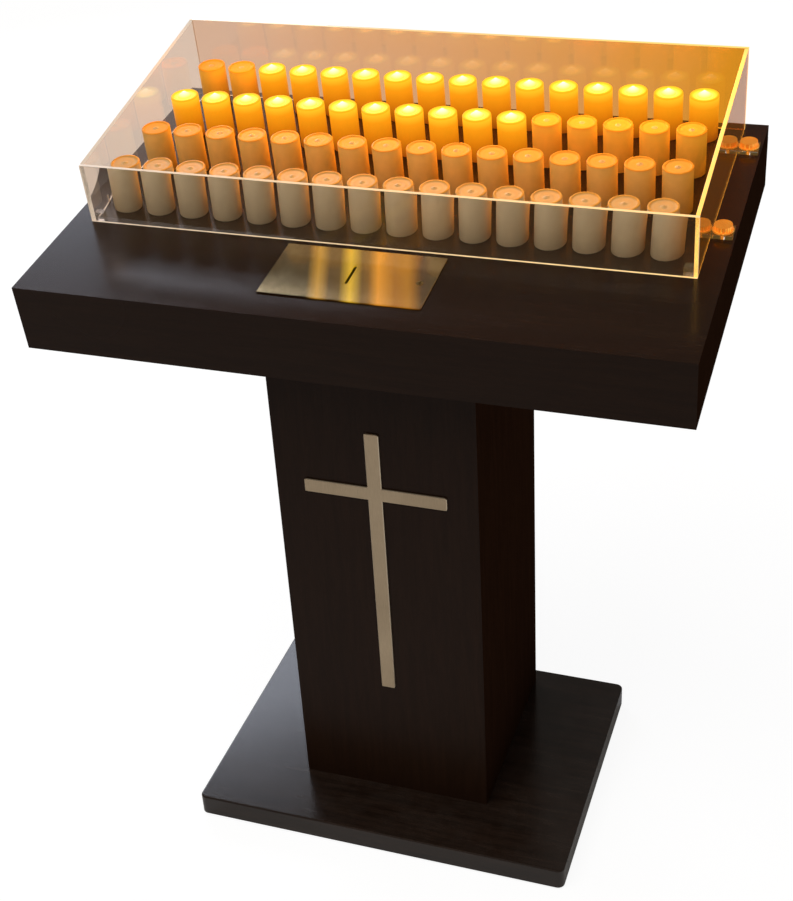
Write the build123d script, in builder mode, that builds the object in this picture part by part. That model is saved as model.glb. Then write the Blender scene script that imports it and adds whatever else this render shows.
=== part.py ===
"""Electric votive candle rack: a sloping table of candles on a panelled pedestal.

Frame: +Z up, +Y towards the back, +X to the right of a person facing the slot.
The origin is at floor level, under the middle of the outline.
"""
from build123d import *
from math import cos, radians, sin
import os

# ---- driving dimensions, millimetres -------------------------------------------------
TABLE_W = 840.0            # table box, across
TABLE_D = 545.0            # table box, up the slope
TABLE_T = 90.0             # table box, depth of the aprons
TILT = 7.0                 # slope of the table, degrees
FRONT_EDGE_Z = 856.0       # height of the table's upper front edge
BOARD = 18.0               # faced board of table and pedestal
TABLE_BOTTOM_T = 12.0      # closing board under the table box
EDGE_R = 1.6               # softened arrises of the faced board

BASE_W = 550.0
BASE_D = 406.0
BASE_T = 32.0
BASE_SETBACK = 2.0         # base front behind the table's front edge
BASE_CORNER_R = 10.0
BASE_EDGE_R = 2.5
GLIDE_H = 4.0
GLIDE_R = 16.0
GLIDE_INSET = 45.0

PED_W = 278.0              # pedestal column
PED_D = 286.0
PED_SETBACK = 97.0         # pedestal front behind the base front
SHELF_Z = 480.0            # underside of the shelf between store and cash drawer
DRAWER_H = 184.0
PANEL_GAP = 1.5            # reveal around door and drawer front

CROSS_Z = 229.0            # foot of the cross
CROSS_H = 419.0
CROSS_W = 196.0
CROSS_ARM_Z = 556.0
CROSS_BAR = 20.0
CROSS_T = 3.0
CROSS_BEVEL = 0.9
STUD_R = 3.0
STUD_L = 8.0
STUD_INSET = 40.0          # from the ends of the cross

PLATE_X = -9.0             # slot plate
PLATE_W = 206.0
PLATE_S = 44.0
PLATE_D = 110.0
PLATE_T = 2.0
PLATE_CORNER_R = 2.0
PLATE_BEVEL = 0.5
SLOT_W = 4.4
SLOT_L = 40.0
SLOT_X = -11.0
KEY_X = 77.0
KEY_S = 95.0
KEY_R = 4.5
KEY_BODY_R = 8.0
KEY_BODY_L = 30.0
KEY_CAP_T = 4.0
KEY_BOTTOM_GAP = 1.0
KEY_PROUD = 0.4            # barrel above the slot plate
KEYHOLE_W = 1.4
KEYHOLE_L = 6.0
KEYHOLE_DEPTH = 4.0

CANDLE_COLS = 16
CANDLE_X = -8.0            # middle of the rows beside the middle of the table
CANDLE_PITCH = 46.5
CANDLE_ROW_PITCH = 94.5
CANDLE_FIRST_S = 218.0
CANDLE_R = 19.0
CANDLE_H = 60.0
CANDLE_WALL = 2.0
CANDLE_RIM = 3.0
CANDLE_DISH = 1.4
CANDLE_ROUND = 1.2
TIP_R = 4.0
TIP_H = 4.5
TIP_TAPER = 24
SOCKET_R = 8.0
SOCKET_H = 12.0
SOCKET_STEM_R = 5.0
LIT = {3: range(0, 11), 4: range(2, 16)}     # columns that glow, by row

COVER_W = 782.0            # clear cover around the candles
COVER_D = 367.0
COVER_S = 163.0
COVER_FRONT_H = 81.0
COVER_BACK_H = 115.0
ACRYLIC = 5.0
LIFT_GAP = 0.3             # clear cover above the table
BLOCK = 12.0               # clear blocks in the cover's corners
LUG_W = 26.0
LUG_REACH = 26.0
LUG_S = (265.0, 473.0)
SCREW_R = 3.0              # thumbscrew shank
SCREW_L = 14.0
HEAD_R = 13.0
HEAD_H = 8.0
FLANGE_T = 2.0
HEAD_STEP = 2.5            # flange past the head
HEAD_CHAMFER = 0.8
INSERT_R = 5.0
PIN_R = 1.5
PIN_L = 8.0
PIN_INSET = 60.0           # from the cover's front and back

RUN = 0.05                 # radial clearance of a turning fit
LOCK_R = 8.0
LOCK_HEAD_R = 10.5
LOCK_HEAD_T = 2.5
LOCK_INSET = 22.0          # lock axis from the panel's edge
KEYWAY_W = 1.6
KEYWAY_L = 8.0
KEYWAY_DEPTH = 5.0
DOOR_LOCK_REACH = 8.0      # barrels past the inside of their panels
DRAWER_LOCK_REACH = 1.0
CAM_T = 3.0
CAM_W = 14.0
DRAWER_CAM_L = 30.0
DOOR_CAM_L = 20.0
TRAY_WALL = 2.0
TRAY_H = 148.0
TRAY_SIDE_GAP = 3.0
TRAY_LIFT = 0.5
TRAY_FRONT_GAP = 8.0
HINGE_R = 4.0
HINGE_PIN_R = 2.0
HINGE_L = 60.0
HINGE_INSET = 50.0         # from the door's foot and head
HINGE_STANDOFF = 0.5
HINGE_PIN_PAST = 1.0       # pin past the outer knuckles
KNUCKLE_RELIEF = 0.6
LEAF_SETBACK = 1.0
LEAF_T = 2.0
LEAF_W = 17.0

MODULE_W = 50.0            # mains inlet with switch, on the back apron
MODULE_H = 30.0
MODULE_FLANGE = 2.0
MODULE_DEPTH = 24.0
MODULE_X = -300.0
ROCK = 6.0                 # rocker lean, degrees
ROCKER_LEN = 18.8
ROCKER_W = 12.0
ROCKER_HEEL = 5.0          # body below the pivot
ROCKER_LIP = 4.6           # ends above the pivot
ROCKER_DIP = 2.6           # middle above the pivot
ROCKER_PIVOT_R = 1.5
ROCKER_PIVOT_OUT = 0.3     # pivot past each side
ROCKER_SIDE_GAP = 0.4
ROCKER_END_GAP = 1.5
MODULE_STEP = 1.5          # flange past the body
SOCKET_AT = -0.2           # inlet and rocker along the module, shares of its width
ROCKER_AT = 0.29
SOCKET_W = 24.0
SOCKET_TALL = 17.0
SOCKET_DEPTH = 16.0
INLET_PINS = ((-7.0, -2.0), (0.0, 2.0), (7.0, -2.0))
INLET_PIN_W = 2.0
INLET_PIN_T = 4.0
INLET_PIN_L = 12.0

# ---- places worked out from them -----------------------------------------------------
lean = radians(TILT)
FRONT_Y = -(TABLE_D * cos(lean) + TABLE_T * sin(lean)) / 2
BASE_TOP = GLIDE_H + BASE_T
BASE_Y = FRONT_Y + BASE_SETBACK
PED_Y = BASE_Y + PED_SETBACK
PED_BACK = PED_Y + PED_D
PED_IN_X = PED_W / 2 - BOARD
SHELF_TOP = SHELF_Z + BOARD
SLOT_S = PLATE_S + PLATE_D / 2
DECK = Plane(origin=(0, FRONT_Y, FRONT_EDGE_Z), x_dir=(1, 0, 0), z_dir=(0, -sin(lean), cos(lean)))
UNDERSIDE = DECK.offset(-TABLE_T)
COLUMNS = [CANDLE_X + (i - (CANDLE_COLS - 1) / 2) * CANDLE_PITCH for i in range(CANDLE_COLS)]
ROWS = [CANDLE_FIRST_S + r * CANDLE_ROW_PITCH for r in range(4)]


def pad(x0, x1, y0, y1):
    """Rectangle between two corners of the open sketch."""
    with Locations(((x0 + x1) / 2, (y0 + y1) / 2)):
        Rectangle(x1 - x0, y1 - y0)


def deck_point(x, s, n):
    """Point at x, s up the slope and n above the table's top."""
    return DECK.from_local_coords(Vector(x, s, n))


def save(builder, name):
    builder.part.label = name
    export_step(builder.part, f"parts/{name}.step")


os.makedirs("parts", exist_ok=True)

# ---- fasteners' places: a plane at the head's seat, its normal out of the board -------
BRACKET_LEN = 30.0
BRACKET_INSET = 35.0
BRACKET_BACK_CLEAR = 15.0
BRACKET_HOLE = 0.65        # screw along the leg, a share of it
ped_front_s = BASE_SETBACK + PED_SETBACK + BOARD
ped_back_s = BASE_SETBACK + PED_SETBACK + PED_D - BOARD
BRACKET_S = (ped_front_s + BRACKET_INSET, ped_back_s - BRACKET_INSET - BRACKET_LEN - BRACKET_BACK_CLEAR)
BRACKET_LEG = 40.0
BRACKET_T = 2.0
WOOD_SCREW_R = 2.0
WOOD_SCREW_L = 13.0
WOOD_HEAD_R = 4.0
WOOD_HEAD_T = 2.0
CORNER_BLOCK = 34.0
slope = Vector(0, cos(lean), sin(lean))
normal = DECK.z_dir
bracket_up_sites = []
bracket_side_sites = {-1: [], 1: []}
for side in (-1, 1):
    for s in BRACKET_S:
        mid = s + BRACKET_LEN / 2
        x_up = side * (PED_IN_X - BRACKET_LEG * BRACKET_HOLE)
        up_point = deck_point(x_up, mid, -TABLE_T - BRACKET_T)
        bracket_up_sites.append(Plane(origin=up_point, x_dir=(1, 0, 0), z_dir=-normal))
        side_point = deck_point(side * (PED_IN_X - BRACKET_T), mid, -TABLE_T - BRACKET_LEG * BRACKET_HOLE)
        bracket_side_sites[side].append(Plane(origin=side_point, x_dir=slope, z_dir=(-side, 0, 0)))
block_x = TABLE_W / 2 - BOARD - CORNER_BLOCK / 2
block_s = (BOARD + CORNER_BLOCK / 2, TABLE_D - BOARD - CORNER_BLOCK / 2)
block_sites = []
for x in (-block_x, block_x):
    for s in block_s:
        block_sites.append(Plane(origin=deck_point(x, s, -TABLE_T), x_dir=(1, 0, 0), z_dir=-normal))
screw_sites = bracket_up_sites + bracket_side_sites[-1] + bracket_side_sites[1] + block_sites


def bore(sites, radius, depth):
    """Drill the open part inwards at each site."""
    for site in sites:
        with BuildSketch(site) as hole:
            Circle(radius)
        extrude(hole.sketch, amount=-depth, mode=Mode.SUBTRACT)


# ---- base -----------------------------------------------------------------------------
base_mid_y = BASE_Y + BASE_D / 2
glide_points = [(sx * (BASE_W / 2 - GLIDE_INSET), base_mid_y + sy * (BASE_D / 2 - GLIDE_INSET))
                for sx in (-1, 1) for sy in (-1, 1)]
BASE_SCREW_R = 3.5
BASE_SCREW_HEAD_R = 6.0
BASE_SCREW_HEAD_T = 4.0
BASE_SCREW_BITE = 38.0
BASE_SCREW_INSET = 60.0
BASE_SCREW_FRONT_X = 70.0
base_screw_points = [(sx * (PED_W / 2 - BOARD / 2), y)
                     for sx in (-1, 1) for y in (PED_Y + BASE_SCREW_INSET, PED_BACK - BASE_SCREW_INSET)]
base_screw_points += [(sx * BASE_SCREW_FRONT_X, PED_Y + BOARD / 2) for sx in (-1, 1)]

with BuildPart() as base_plate:
    with BuildSketch(Plane.XY.offset(GLIDE_H)):
        with Locations((0, base_mid_y)):
            RectangleRounded(BASE_W, BASE_D, BASE_CORNER_R)
    extrude(amount=BASE_T)
    fillet(base_plate.edges().group_by(Axis.Z)[-1], BASE_EDGE_R)
    with BuildSketch(Plane.XY.offset(GLIDE_H)):
        with Locations(*base_screw_points):
            Circle(BASE_SCREW_R)
    extrude(amount=BASE_T, mode=Mode.SUBTRACT)
    with BuildSketch(Plane.XY.offset(GLIDE_H)):
        with Locations(*base_screw_points):
            Circle(BASE_SCREW_HEAD_R)
    extrude(amount=BASE_SCREW_HEAD_T, mode=Mode.SUBTRACT)
save(base_plate, "base_plate")

with BuildPart() as base_glides:
    with BuildSketch(Plane.XY):
        with Locations(*glide_points):
            Circle(GLIDE_R)
    extrude(amount=GLIDE_H)
    chamfer(base_glides.edges().group_by(Axis.Z)[0], 1.0)
save(base_glides, "base_glides")

# ---- pedestal -------------------------------------------------------------------------
PED_TALL = TABLE_T + FRONT_EDGE_Z
stud_points = [(0, CROSS_Z + STUD_INSET), (0, CROSS_ARM_Z), (0, CROSS_Z + CROSS_H - STUD_INSET)]
PED_FACE = Plane(origin=(0, PED_Y, 0), x_dir=(1, 0, 0), z_dir=(0, -1, 0))


def base_screw_bores():
    """Holes up into the open panel for the screws through the base."""
    with BuildSketch(Plane.XY.offset(BASE_TOP)) as holes:
        with Locations(*base_screw_points):
            Circle(BASE_SCREW_R)
    extrude(holes.sketch, amount=BASE_SCREW_BITE, mode=Mode.SUBTRACT)


with BuildPart() as pedestal_front:
    with BuildSketch(Plane.XY.offset(BASE_TOP)):
        pad(-PED_W / 2, PED_W / 2, PED_Y, PED_Y + BOARD)
    extrude(amount=PED_TALL)
    fillet(pedestal_front.edges().filter_by(Axis.Z).group_by(Axis.Y)[0], EDGE_R)
    split(bisect_by=UNDERSIDE, keep=Keep.BOTTOM)
    with BuildSketch(PED_FACE):
        with Locations(*stud_points):
            Circle(STUD_R)
    extrude(amount=-STUD_L, mode=Mode.SUBTRACT)
    base_screw_bores()
save(pedestal_front, "pedestal_front")

with BuildPart() as pedestal_left:
    with BuildSketch(Plane.XY.offset(BASE_TOP)):
        pad(-PED_W / 2, -PED_IN_X, PED_Y + BOARD, PED_BACK)
    extrude(amount=PED_TALL)
    split(bisect_by=UNDERSIDE, keep=Keep.BOTTOM)
    base_screw_bores()
    bore(bracket_side_sites[-1], WOOD_SCREW_R, WOOD_SCREW_L)
save(pedestal_left, "pedestal_left")

with BuildPart() as pedestal_right:
    with BuildSketch(Plane.XY.offset(BASE_TOP)):
        pad(PED_IN_X, PED_W / 2, PED_Y + BOARD, PED_BACK)
    extrude(amount=PED_TALL)
    split(bisect_by=UNDERSIDE, keep=Keep.BOTTOM)
    base_screw_bores()
    bore(bracket_side_sites[1], WOOD_SCREW_R, WOOD_SCREW_L)
save(pedestal_right, "pedestal_right")

drawer_z0 = SHELF_TOP + PANEL_GAP
drawer_z1 = drawer_z0 + DRAWER_H
with BuildPart() as rear_top_rail:
    with BuildSketch(Plane.XY.offset(drawer_z1 + PANEL_GAP)):
        pad(-PED_IN_X, PED_IN_X, PED_BACK - BOARD, PED_BACK)
    extrude(amount=TABLE_T + FRONT_EDGE_Z - drawer_z1)
    split(bisect_by=UNDERSIDE, keep=Keep.BOTTOM)
save(rear_top_rail, "rear_top_rail")

with BuildPart() as compartment_shelf:
    with BuildSketch(Plane.XY.offset(SHELF_Z)):
        pad(-PED_IN_X, PED_IN_X, PED_Y + BOARD, PED_BACK)
    extrude(amount=BOARD)
save(compartment_shelf, "compartment_shelf")

# ---- cross on the pedestal's face -----------------------------------------------------
with BuildPart() as cross:
    with BuildSketch(PED_FACE):
        pad(-CROSS_BAR / 2, CROSS_BAR / 2, CROSS_Z, CROSS_Z + CROSS_H)
        pad(-CROSS_W / 2, CROSS_W / 2, CROSS_ARM_Z - CROSS_BAR / 2, CROSS_ARM_Z + CROSS_BAR / 2)
    extrude(amount=CROSS_T)
    chamfer(cross.faces().sort_by(Axis.Y)[0].edges(), CROSS_BEVEL)
    with BuildSketch(PED_FACE):
        with Locations(*stud_points):
            Circle(STUD_R)
    extrude(amount=-STUD_L)
save(cross, "cross")

# ---- store door, its hinges and lock --------------------------------------------------
door_z0 = BASE_TOP + PANEL_GAP
door_z1 = SHELF_Z - PANEL_GAP
door_x = PED_IN_X - PANEL_GAP
LOCK_X = door_x - LOCK_INSET
LOCK_Z = (door_z0 + door_z1) / 2
BACK_FACE = Plane(origin=(0, PED_BACK, 0), x_dir=(-1, 0, 0), z_dir=(0, 1, 0))
hinge_axis_x = -PED_IN_X + PANEL_GAP / 2
hinge_axis_y = PED_BACK + HINGE_R + HINGE_STANDOFF
hinge_z = [door_z0 + HINGE_INSET, door_z1 - HINGE_INSET - HINGE_L]

with BuildPart() as storage_door:
    with BuildSketch(Plane.XY.offset(door_z0)):
        pad(-door_x + PANEL_GAP, door_x, PED_BACK - BOARD, PED_BACK)
    extrude(amount=door_z1 - door_z0)
    with BuildSketch(BACK_FACE):
        with Locations((-LOCK_X, LOCK_Z)):
            Circle(LOCK_R + RUN)
    extrude(amount=-BOARD, mode=Mode.SUBTRACT)
save(storage_door, "storage_door")

KNUCKLE_GAP = 0.4
knuckle = (HINGE_L - 2 * KNUCKLE_GAP) / 3
fixed_knuckles = [z + knuckle + KNUCKLE_GAP for z in hinge_z]
door_knuckles = [z0 for z in hinge_z for z0 in (z, z + 2 * (knuckle + KNUCKLE_GAP))]


def barrels(starts, radius, length, mode=Mode.ADD):
    """Round columns or bores on the hinge axis that start at the given heights."""
    for z in starts:
        with BuildSketch(Plane.XY.offset(z)) as ring:
            with Locations((hinge_axis_x, hinge_axis_y)):
                Circle(radius)
        extrude(ring.sketch, amount=length, mode=mode)


def leaves(starts, x0, x1, height):
    """Leaf webs from the panel's back face out to the knuckles."""
    for z in starts:
        with BuildSketch(Plane.XY.offset(z)) as web:
            pad(x0, x1, PED_BACK, PED_BACK + LEAF_T)
        extrude(web.sketch, amount=height)


with BuildPart() as hinge_leaves_fixed:
    leaves(hinge_z, -PED_W / 2 + LEAF_SETBACK, hinge_axis_x - HINGE_R, HINGE_L)
    leaves(fixed_knuckles, hinge_axis_x - HINGE_R, hinge_axis_x - HINGE_PIN_R - KNUCKLE_RELIEF, knuckle)
    barrels(fixed_knuckles, HINGE_R, knuckle)
    barrels([z - HINGE_PIN_PAST for z in hinge_z], HINGE_PIN_R, HINGE_L + 2 * HINGE_PIN_PAST)
save(hinge_leaves_fixed, "hinge_leaves_fixed")

with BuildPart() as hinge_leaves_door:
    leaves(hinge_z, hinge_axis_x + HINGE_R, hinge_axis_x + HINGE_R + LEAF_W, HINGE_L)
    leaves(door_knuckles, hinge_axis_x + HINGE_PIN_R + KNUCKLE_RELIEF, hinge_axis_x + HINGE_R, knuckle)
    barrels(door_knuckles, HINGE_R, knuckle)
    barrels(door_knuckles, HINGE_PIN_R + RUN, knuckle, Mode.SUBTRACT)
save(hinge_leaves_door, "hinge_leaves_door")

def lock_barrel(x, z, reach):
    """Cam lock barrel with its head outside the panel and a keyway in the head."""
    with BuildSketch(BACK_FACE.offset(-BOARD - reach)) as body:
        with Locations((-x, z)):
            Circle(LOCK_R)
    extrude(body.sketch, amount=BOARD + reach + LIFT_GAP)
    with BuildSketch(BACK_FACE.offset(LIFT_GAP)) as head:
        with Locations((-x, z)):
            Circle(LOCK_HEAD_R)
    extrude(head.sketch, amount=LOCK_HEAD_T)
    with BuildSketch(BACK_FACE.offset(LIFT_GAP + LOCK_HEAD_T)) as keyway:
        with Locations((-x, z)):
            Rectangle(KEYWAY_W, KEYWAY_L)
    extrude(keyway.sketch, amount=-KEYWAY_DEPTH, mode=Mode.SUBTRACT)


with BuildPart() as door_lock_barrel:
    lock_barrel(LOCK_X, LOCK_Z, DOOR_LOCK_REACH)
save(door_lock_barrel, "door_lock_barrel")

with BuildPart() as door_lock_cam:
    with BuildSketch(BACK_FACE.offset(-BOARD - DOOR_LOCK_REACH - CAM_T)):
        with Locations((-LOCK_X, LOCK_Z)):
            Circle(LOCK_R)
        pad(-LOCK_X - CAM_W / 2, -LOCK_X + CAM_W / 2, LOCK_Z - DOOR_CAM_L, LOCK_Z)
    extrude(amount=CAM_T)
save(door_lock_cam, "door_lock_cam")

STRIKE_LAP = 8.0
STRIKE_H = 40.0
CAM_GAP = 1.0
with BuildPart() as door_strike:
    with BuildSketch(Plane.XY.offset(LOCK_Z - STRIKE_H / 2)):
        strike_y = PED_BACK - BOARD - DOOR_LOCK_REACH + CAM_GAP
        pad(door_x - STRIKE_LAP, PED_IN_X, strike_y, PED_BACK - BOARD - CAM_GAP)
    extrude(amount=STRIKE_H)
save(door_strike, "door_strike")

# ---- cash drawer ----------------------------------------------------------------------
DRAWER_LOCK_X = 75.0
DRAWER_LOCK_Z = drawer_z1 - LOCK_INSET
KNOB_Z = (drawer_z0 + drawer_z1) / 2
KNOB_R = 12.0
KNOB_STEM_R = 5.0
KNOB_L = 24.0
KNOB_NECK = 0.45           # plain stem, a share of the knob's length
KNOB_ROUND = 4.0
tray_x = PED_IN_X - TRAY_SIDE_GAP
tray_y0 = PED_Y + BOARD + TRAY_FRONT_GAP
tray_y1 = PED_BACK - BOARD
tray_z0 = SHELF_TOP + TRAY_LIFT

with BuildPart() as cash_tray:
    with BuildSketch(Plane.XY.offset(tray_z0)):
        pad(-tray_x, tray_x, tray_y0, tray_y1)
    extrude(amount=TRAY_H)
    with BuildSketch(Plane.XY.offset(tray_z0 + TRAY_WALL)):
        pad(-tray_x + TRAY_WALL, tray_x - TRAY_WALL, tray_y0 + TRAY_WALL, tray_y1 - TRAY_WALL)
    extrude(amount=TRAY_H, mode=Mode.SUBTRACT)
save(cash_tray, "cash_tray")

with BuildPart() as drawer_front:
    with BuildSketch(Plane.XY.offset(drawer_z0)):
        pad(-door_x, door_x, PED_BACK - BOARD, PED_BACK)
    extrude(amount=DRAWER_H)
    with BuildSketch(BACK_FACE):
        with Locations((-DRAWER_LOCK_X, DRAWER_LOCK_Z)):
            Circle(LOCK_R + RUN)
    extrude(amount=-BOARD, mode=Mode.SUBTRACT)
save(drawer_front, "drawer_front")

with BuildPart() as drawer_knob:
    with BuildSketch(BACK_FACE):
        with Locations((0, KNOB_Z)):
            Circle(KNOB_STEM_R)
    extrude(amount=KNOB_L)
    with BuildSketch(BACK_FACE.offset(KNOB_L * KNOB_NECK)):
        with Locations((0, KNOB_Z)):
            Circle(KNOB_R)
    extrude(amount=KNOB_L * (1 - KNOB_NECK))
    fillet(drawer_knob.faces().sort_by(Axis.Y)[-1].edges(), KNOB_ROUND)
save(drawer_knob, "drawer_knob")

with BuildPart() as drawer_lock_barrel:
    lock_barrel(DRAWER_LOCK_X, DRAWER_LOCK_Z, DRAWER_LOCK_REACH)
save(drawer_lock_barrel, "drawer_lock_barrel")

with BuildPart() as drawer_lock_cam:
    with BuildSketch(BACK_FACE.offset(-BOARD - DRAWER_LOCK_REACH - CAM_T)):
        with Locations((-DRAWER_LOCK_X, DRAWER_LOCK_Z)):
            Circle(LOCK_R)
        cam_y = (DRAWER_LOCK_Z - CAM_W / 2, DRAWER_LOCK_Z + CAM_W / 2)
        pad(-DRAWER_LOCK_X, -DRAWER_LOCK_X + DRAWER_CAM_L, *cam_y)
    extrude(amount=CAM_T)
save(drawer_lock_cam, "drawer_lock_cam")

# ---- table box ------------------------------------------------------------------------
FLANGE_X = 34.0            # chute flange under the top board
FLANGE_S = 80.0
CHUTE_INNER_X = 6.4
CHUTE_WALL = 1.5
CHUTE_LEN = 48.0
CHUTE_DROP = 185.0
CHUTE_LEAD = 0.5           # run back per unit of fall
CHUTE_FIT = 0.3
CHUTE_CLEAR = 2.0          # around it in the closing board
OVERCUT = 1.0
chute_x = CHUTE_INNER_X / 2 + CHUTE_WALL
insert_points = [(COVER_W / 2 + LUG_REACH / 2, s) for s in LUG_S]
pin_points = [(-COVER_W / 2 + ACRYLIC / 2, s) for s in (COVER_S + PIN_INSET, COVER_S + COVER_D - PIN_INSET)]
candle_points = [(x, s) for s in ROWS for x in COLUMNS]

with BuildPart() as table_top:
    with BuildSketch(DECK):
        pad(-TABLE_W / 2, TABLE_W / 2, 0, TABLE_D)
    extrude(amount=-BOARD)
    fillet(table_top.faces().sort_by(Axis.Z)[-1].edges(), EDGE_R)
    with BuildSketch(DECK):
        with Locations(*candle_points):
            Circle(SOCKET_STEM_R)
        with Locations(*insert_points):
            Circle(INSERT_R)
        with Locations(*pin_points):
            Circle(PIN_R + RUN)
        with Locations((KEY_X, KEY_S)):
            Circle(KEY_BODY_R)
        with Locations((SLOT_X, SLOT_S)):
            Rectangle(2 * (chute_x + CHUTE_FIT), CHUTE_LEN + 2 * CHUTE_FIT)
    extrude(amount=-BOARD, mode=Mode.SUBTRACT)
save(table_top, "table_top")

with BuildPart() as apron_front:
    with BuildSketch(DECK.offset(-BOARD)):
        pad(-TABLE_W / 2, TABLE_W / 2, 0, BOARD)
    extrude(amount=BOARD - TABLE_T)
save(apron_front, "apron_front")

module_n = -(BOARD + TABLE_T - TABLE_BOTTOM_T) / 2
MODULE = Plane(origin=deck_point(MODULE_X, TABLE_D, module_n), x_dir=(-1, 0, 0), z_dir=slope)
with BuildPart() as apron_back:
    with BuildSketch(DECK.offset(-BOARD)):
        pad(-TABLE_W / 2, TABLE_W / 2, TABLE_D - BOARD, TABLE_D)
    extrude(amount=BOARD - TABLE_T)
    with BuildSketch(MODULE):
        Rectangle(MODULE_W - 2 * MODULE_STEP, MODULE_H - 2 * MODULE_STEP)
    extrude(amount=-BOARD, mode=Mode.SUBTRACT)
save(apron_back, "apron_back")

with BuildPart() as apron_left:
    with BuildSketch(DECK.offset(-BOARD)):
        pad(-TABLE_W / 2, -TABLE_W / 2 + BOARD, BOARD, TABLE_D - BOARD)
    extrude(amount=BOARD - TABLE_T)
save(apron_left, "apron_left")

with BuildPart() as apron_right:
    with BuildSketch(DECK.offset(-BOARD)):
        pad(TABLE_W / 2 - BOARD, TABLE_W / 2, BOARD, TABLE_D - BOARD)
    extrude(amount=BOARD - TABLE_T)
save(apron_right, "apron_right")

chute_cross_n = TABLE_T - BOARD      # fall below the bend where the chute leaves the box
hole_s0 = SLOT_S - CHUTE_LEN / 2 + CHUTE_LEAD * (chute_cross_n - TABLE_BOTTOM_T) - CHUTE_CLEAR
hole_s1 = SLOT_S + CHUTE_LEN / 2 + CHUTE_LEAD * chute_cross_n + CHUTE_CLEAR
with BuildPart() as table_bottom:
    with BuildSketch(UNDERSIDE):
        inner_x = TABLE_W / 2 - BOARD
        pad(-inner_x, inner_x, BOARD, TABLE_D - BOARD)
        with Locations((SLOT_X, (hole_s0 + hole_s1) / 2)):
            Rectangle(2 * (chute_x + CHUTE_CLEAR), hole_s1 - hole_s0, mode=Mode.SUBTRACT)
    extrude(amount=TABLE_BOTTOM_T)
    bore(bracket_up_sites + block_sites, WOOD_SCREW_R, WOOD_SCREW_L)
save(table_bottom, "table_bottom")

with BuildPart() as corner_blocks:
    with BuildSketch(UNDERSIDE.offset(TABLE_BOTTOM_T)):
        for x in (-block_x, block_x):
            for s in block_s:
                with Locations((x, s)):
                    Rectangle(CORNER_BLOCK, CORNER_BLOCK)
    extrude(amount=TABLE_T - BOARD - TABLE_BOTTOM_T)
    bore(block_sites, WOOD_SCREW_R, WOOD_SCREW_L)
save(corner_blocks, "corner_blocks")

with BuildPart() as pedestal_brackets:
    for side in (-1, 1):
        for s in BRACKET_S:
            near = side * PED_IN_X
            with BuildSketch(UNDERSIDE):
                pad(min(near, near - side * BRACKET_LEG), max(near, near - side * BRACKET_LEG),
                    s, s + BRACKET_LEN)
            extrude(amount=-BRACKET_T)
            with BuildSketch(UNDERSIDE):
                pad(min(near, near - side * BRACKET_T), max(near, near - side * BRACKET_T),
                    s, s + BRACKET_LEN)
            extrude(amount=-BRACKET_LEG)
    bore(bracket_up_sites, WOOD_SCREW_R, BRACKET_T)
    bore(bracket_side_sites[-1] + bracket_side_sites[1], WOOD_SCREW_R, BRACKET_T)
save(pedestal_brackets, "pedestal_brackets")

with BuildPart() as wood_screws:
    for site in screw_sites:
        with BuildSketch(site):
            Circle(WOOD_SCREW_R)
        extrude(amount=-WOOD_SCREW_L)
        with BuildSketch(site):
            Circle(WOOD_HEAD_R)
        extrude(amount=WOOD_HEAD_T)
    with BuildSketch(Plane.XY.offset(GLIDE_H)):
        with Locations(*base_screw_points):
            Circle(BASE_SCREW_HEAD_R)
    extrude(amount=BASE_SCREW_HEAD_T)
    with BuildSketch(Plane.XY.offset(GLIDE_H + BASE_SCREW_HEAD_T)):
        with Locations(*base_screw_points):
            Circle(BASE_SCREW_R)
    extrude(amount=BASE_T - BASE_SCREW_HEAD_T + BASE_SCREW_BITE)
save(wood_screws, "wood_screws")

# ---- slot plate, chute and key switch -------------------------------------------------
with BuildPart() as slot_plate:
    with BuildSketch(DECK):
        with Locations((PLATE_X, SLOT_S)):
            RectangleRounded(PLATE_W, PLATE_D, PLATE_CORNER_R)
    extrude(amount=PLATE_T)
    chamfer(slot_plate.faces().sort_by(Axis.Z)[-1].edges(), PLATE_BEVEL)
    with BuildSketch(DECK):
        with Locations((SLOT_X, SLOT_S)):
            SlotOverall(SLOT_L, SLOT_W, rotation=90)
        with Locations((KEY_X, KEY_S)):
            Circle(KEY_R + RUN)
    extrude(amount=PLATE_T, mode=Mode.SUBTRACT)
save(slot_plate, "slot_plate")

CHUTE_SIDE = Plane(origin=deck_point(SLOT_X, SLOT_S, 0), x_dir=slope, z_dir=(1, 0, 0))


CHUTE_SEAM = 0.1           # weld gap between its plates
edge_x = chute_x - CHUTE_WALL - CHUTE_SEAM


def chute_outline(half, top, bottom):
    """Side view of the chute: straight through the board, then leaning back."""
    run = CHUTE_LEAD * (bottom - BOARD)
    Polygon((-half, -top), (-half, -BOARD), (run - half, -bottom), (run + half, -bottom),
            (half, -BOARD), (half, -top), align=None)


def chute_strips(near, far):
    """The upright and the leaning strip closing one edge of the chute."""
    run = CHUTE_LEAD * (CHUTE_DROP - BOARD)
    upper = BOARD - CHUTE_SEAM
    Polygon((near, 0), (near, -upper), (far, -upper), (far, 0), align=None)
    Polygon((near, -BOARD), (run + near, -CHUTE_DROP), (run + far, -CHUTE_DROP), (far, -BOARD), align=None)


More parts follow.
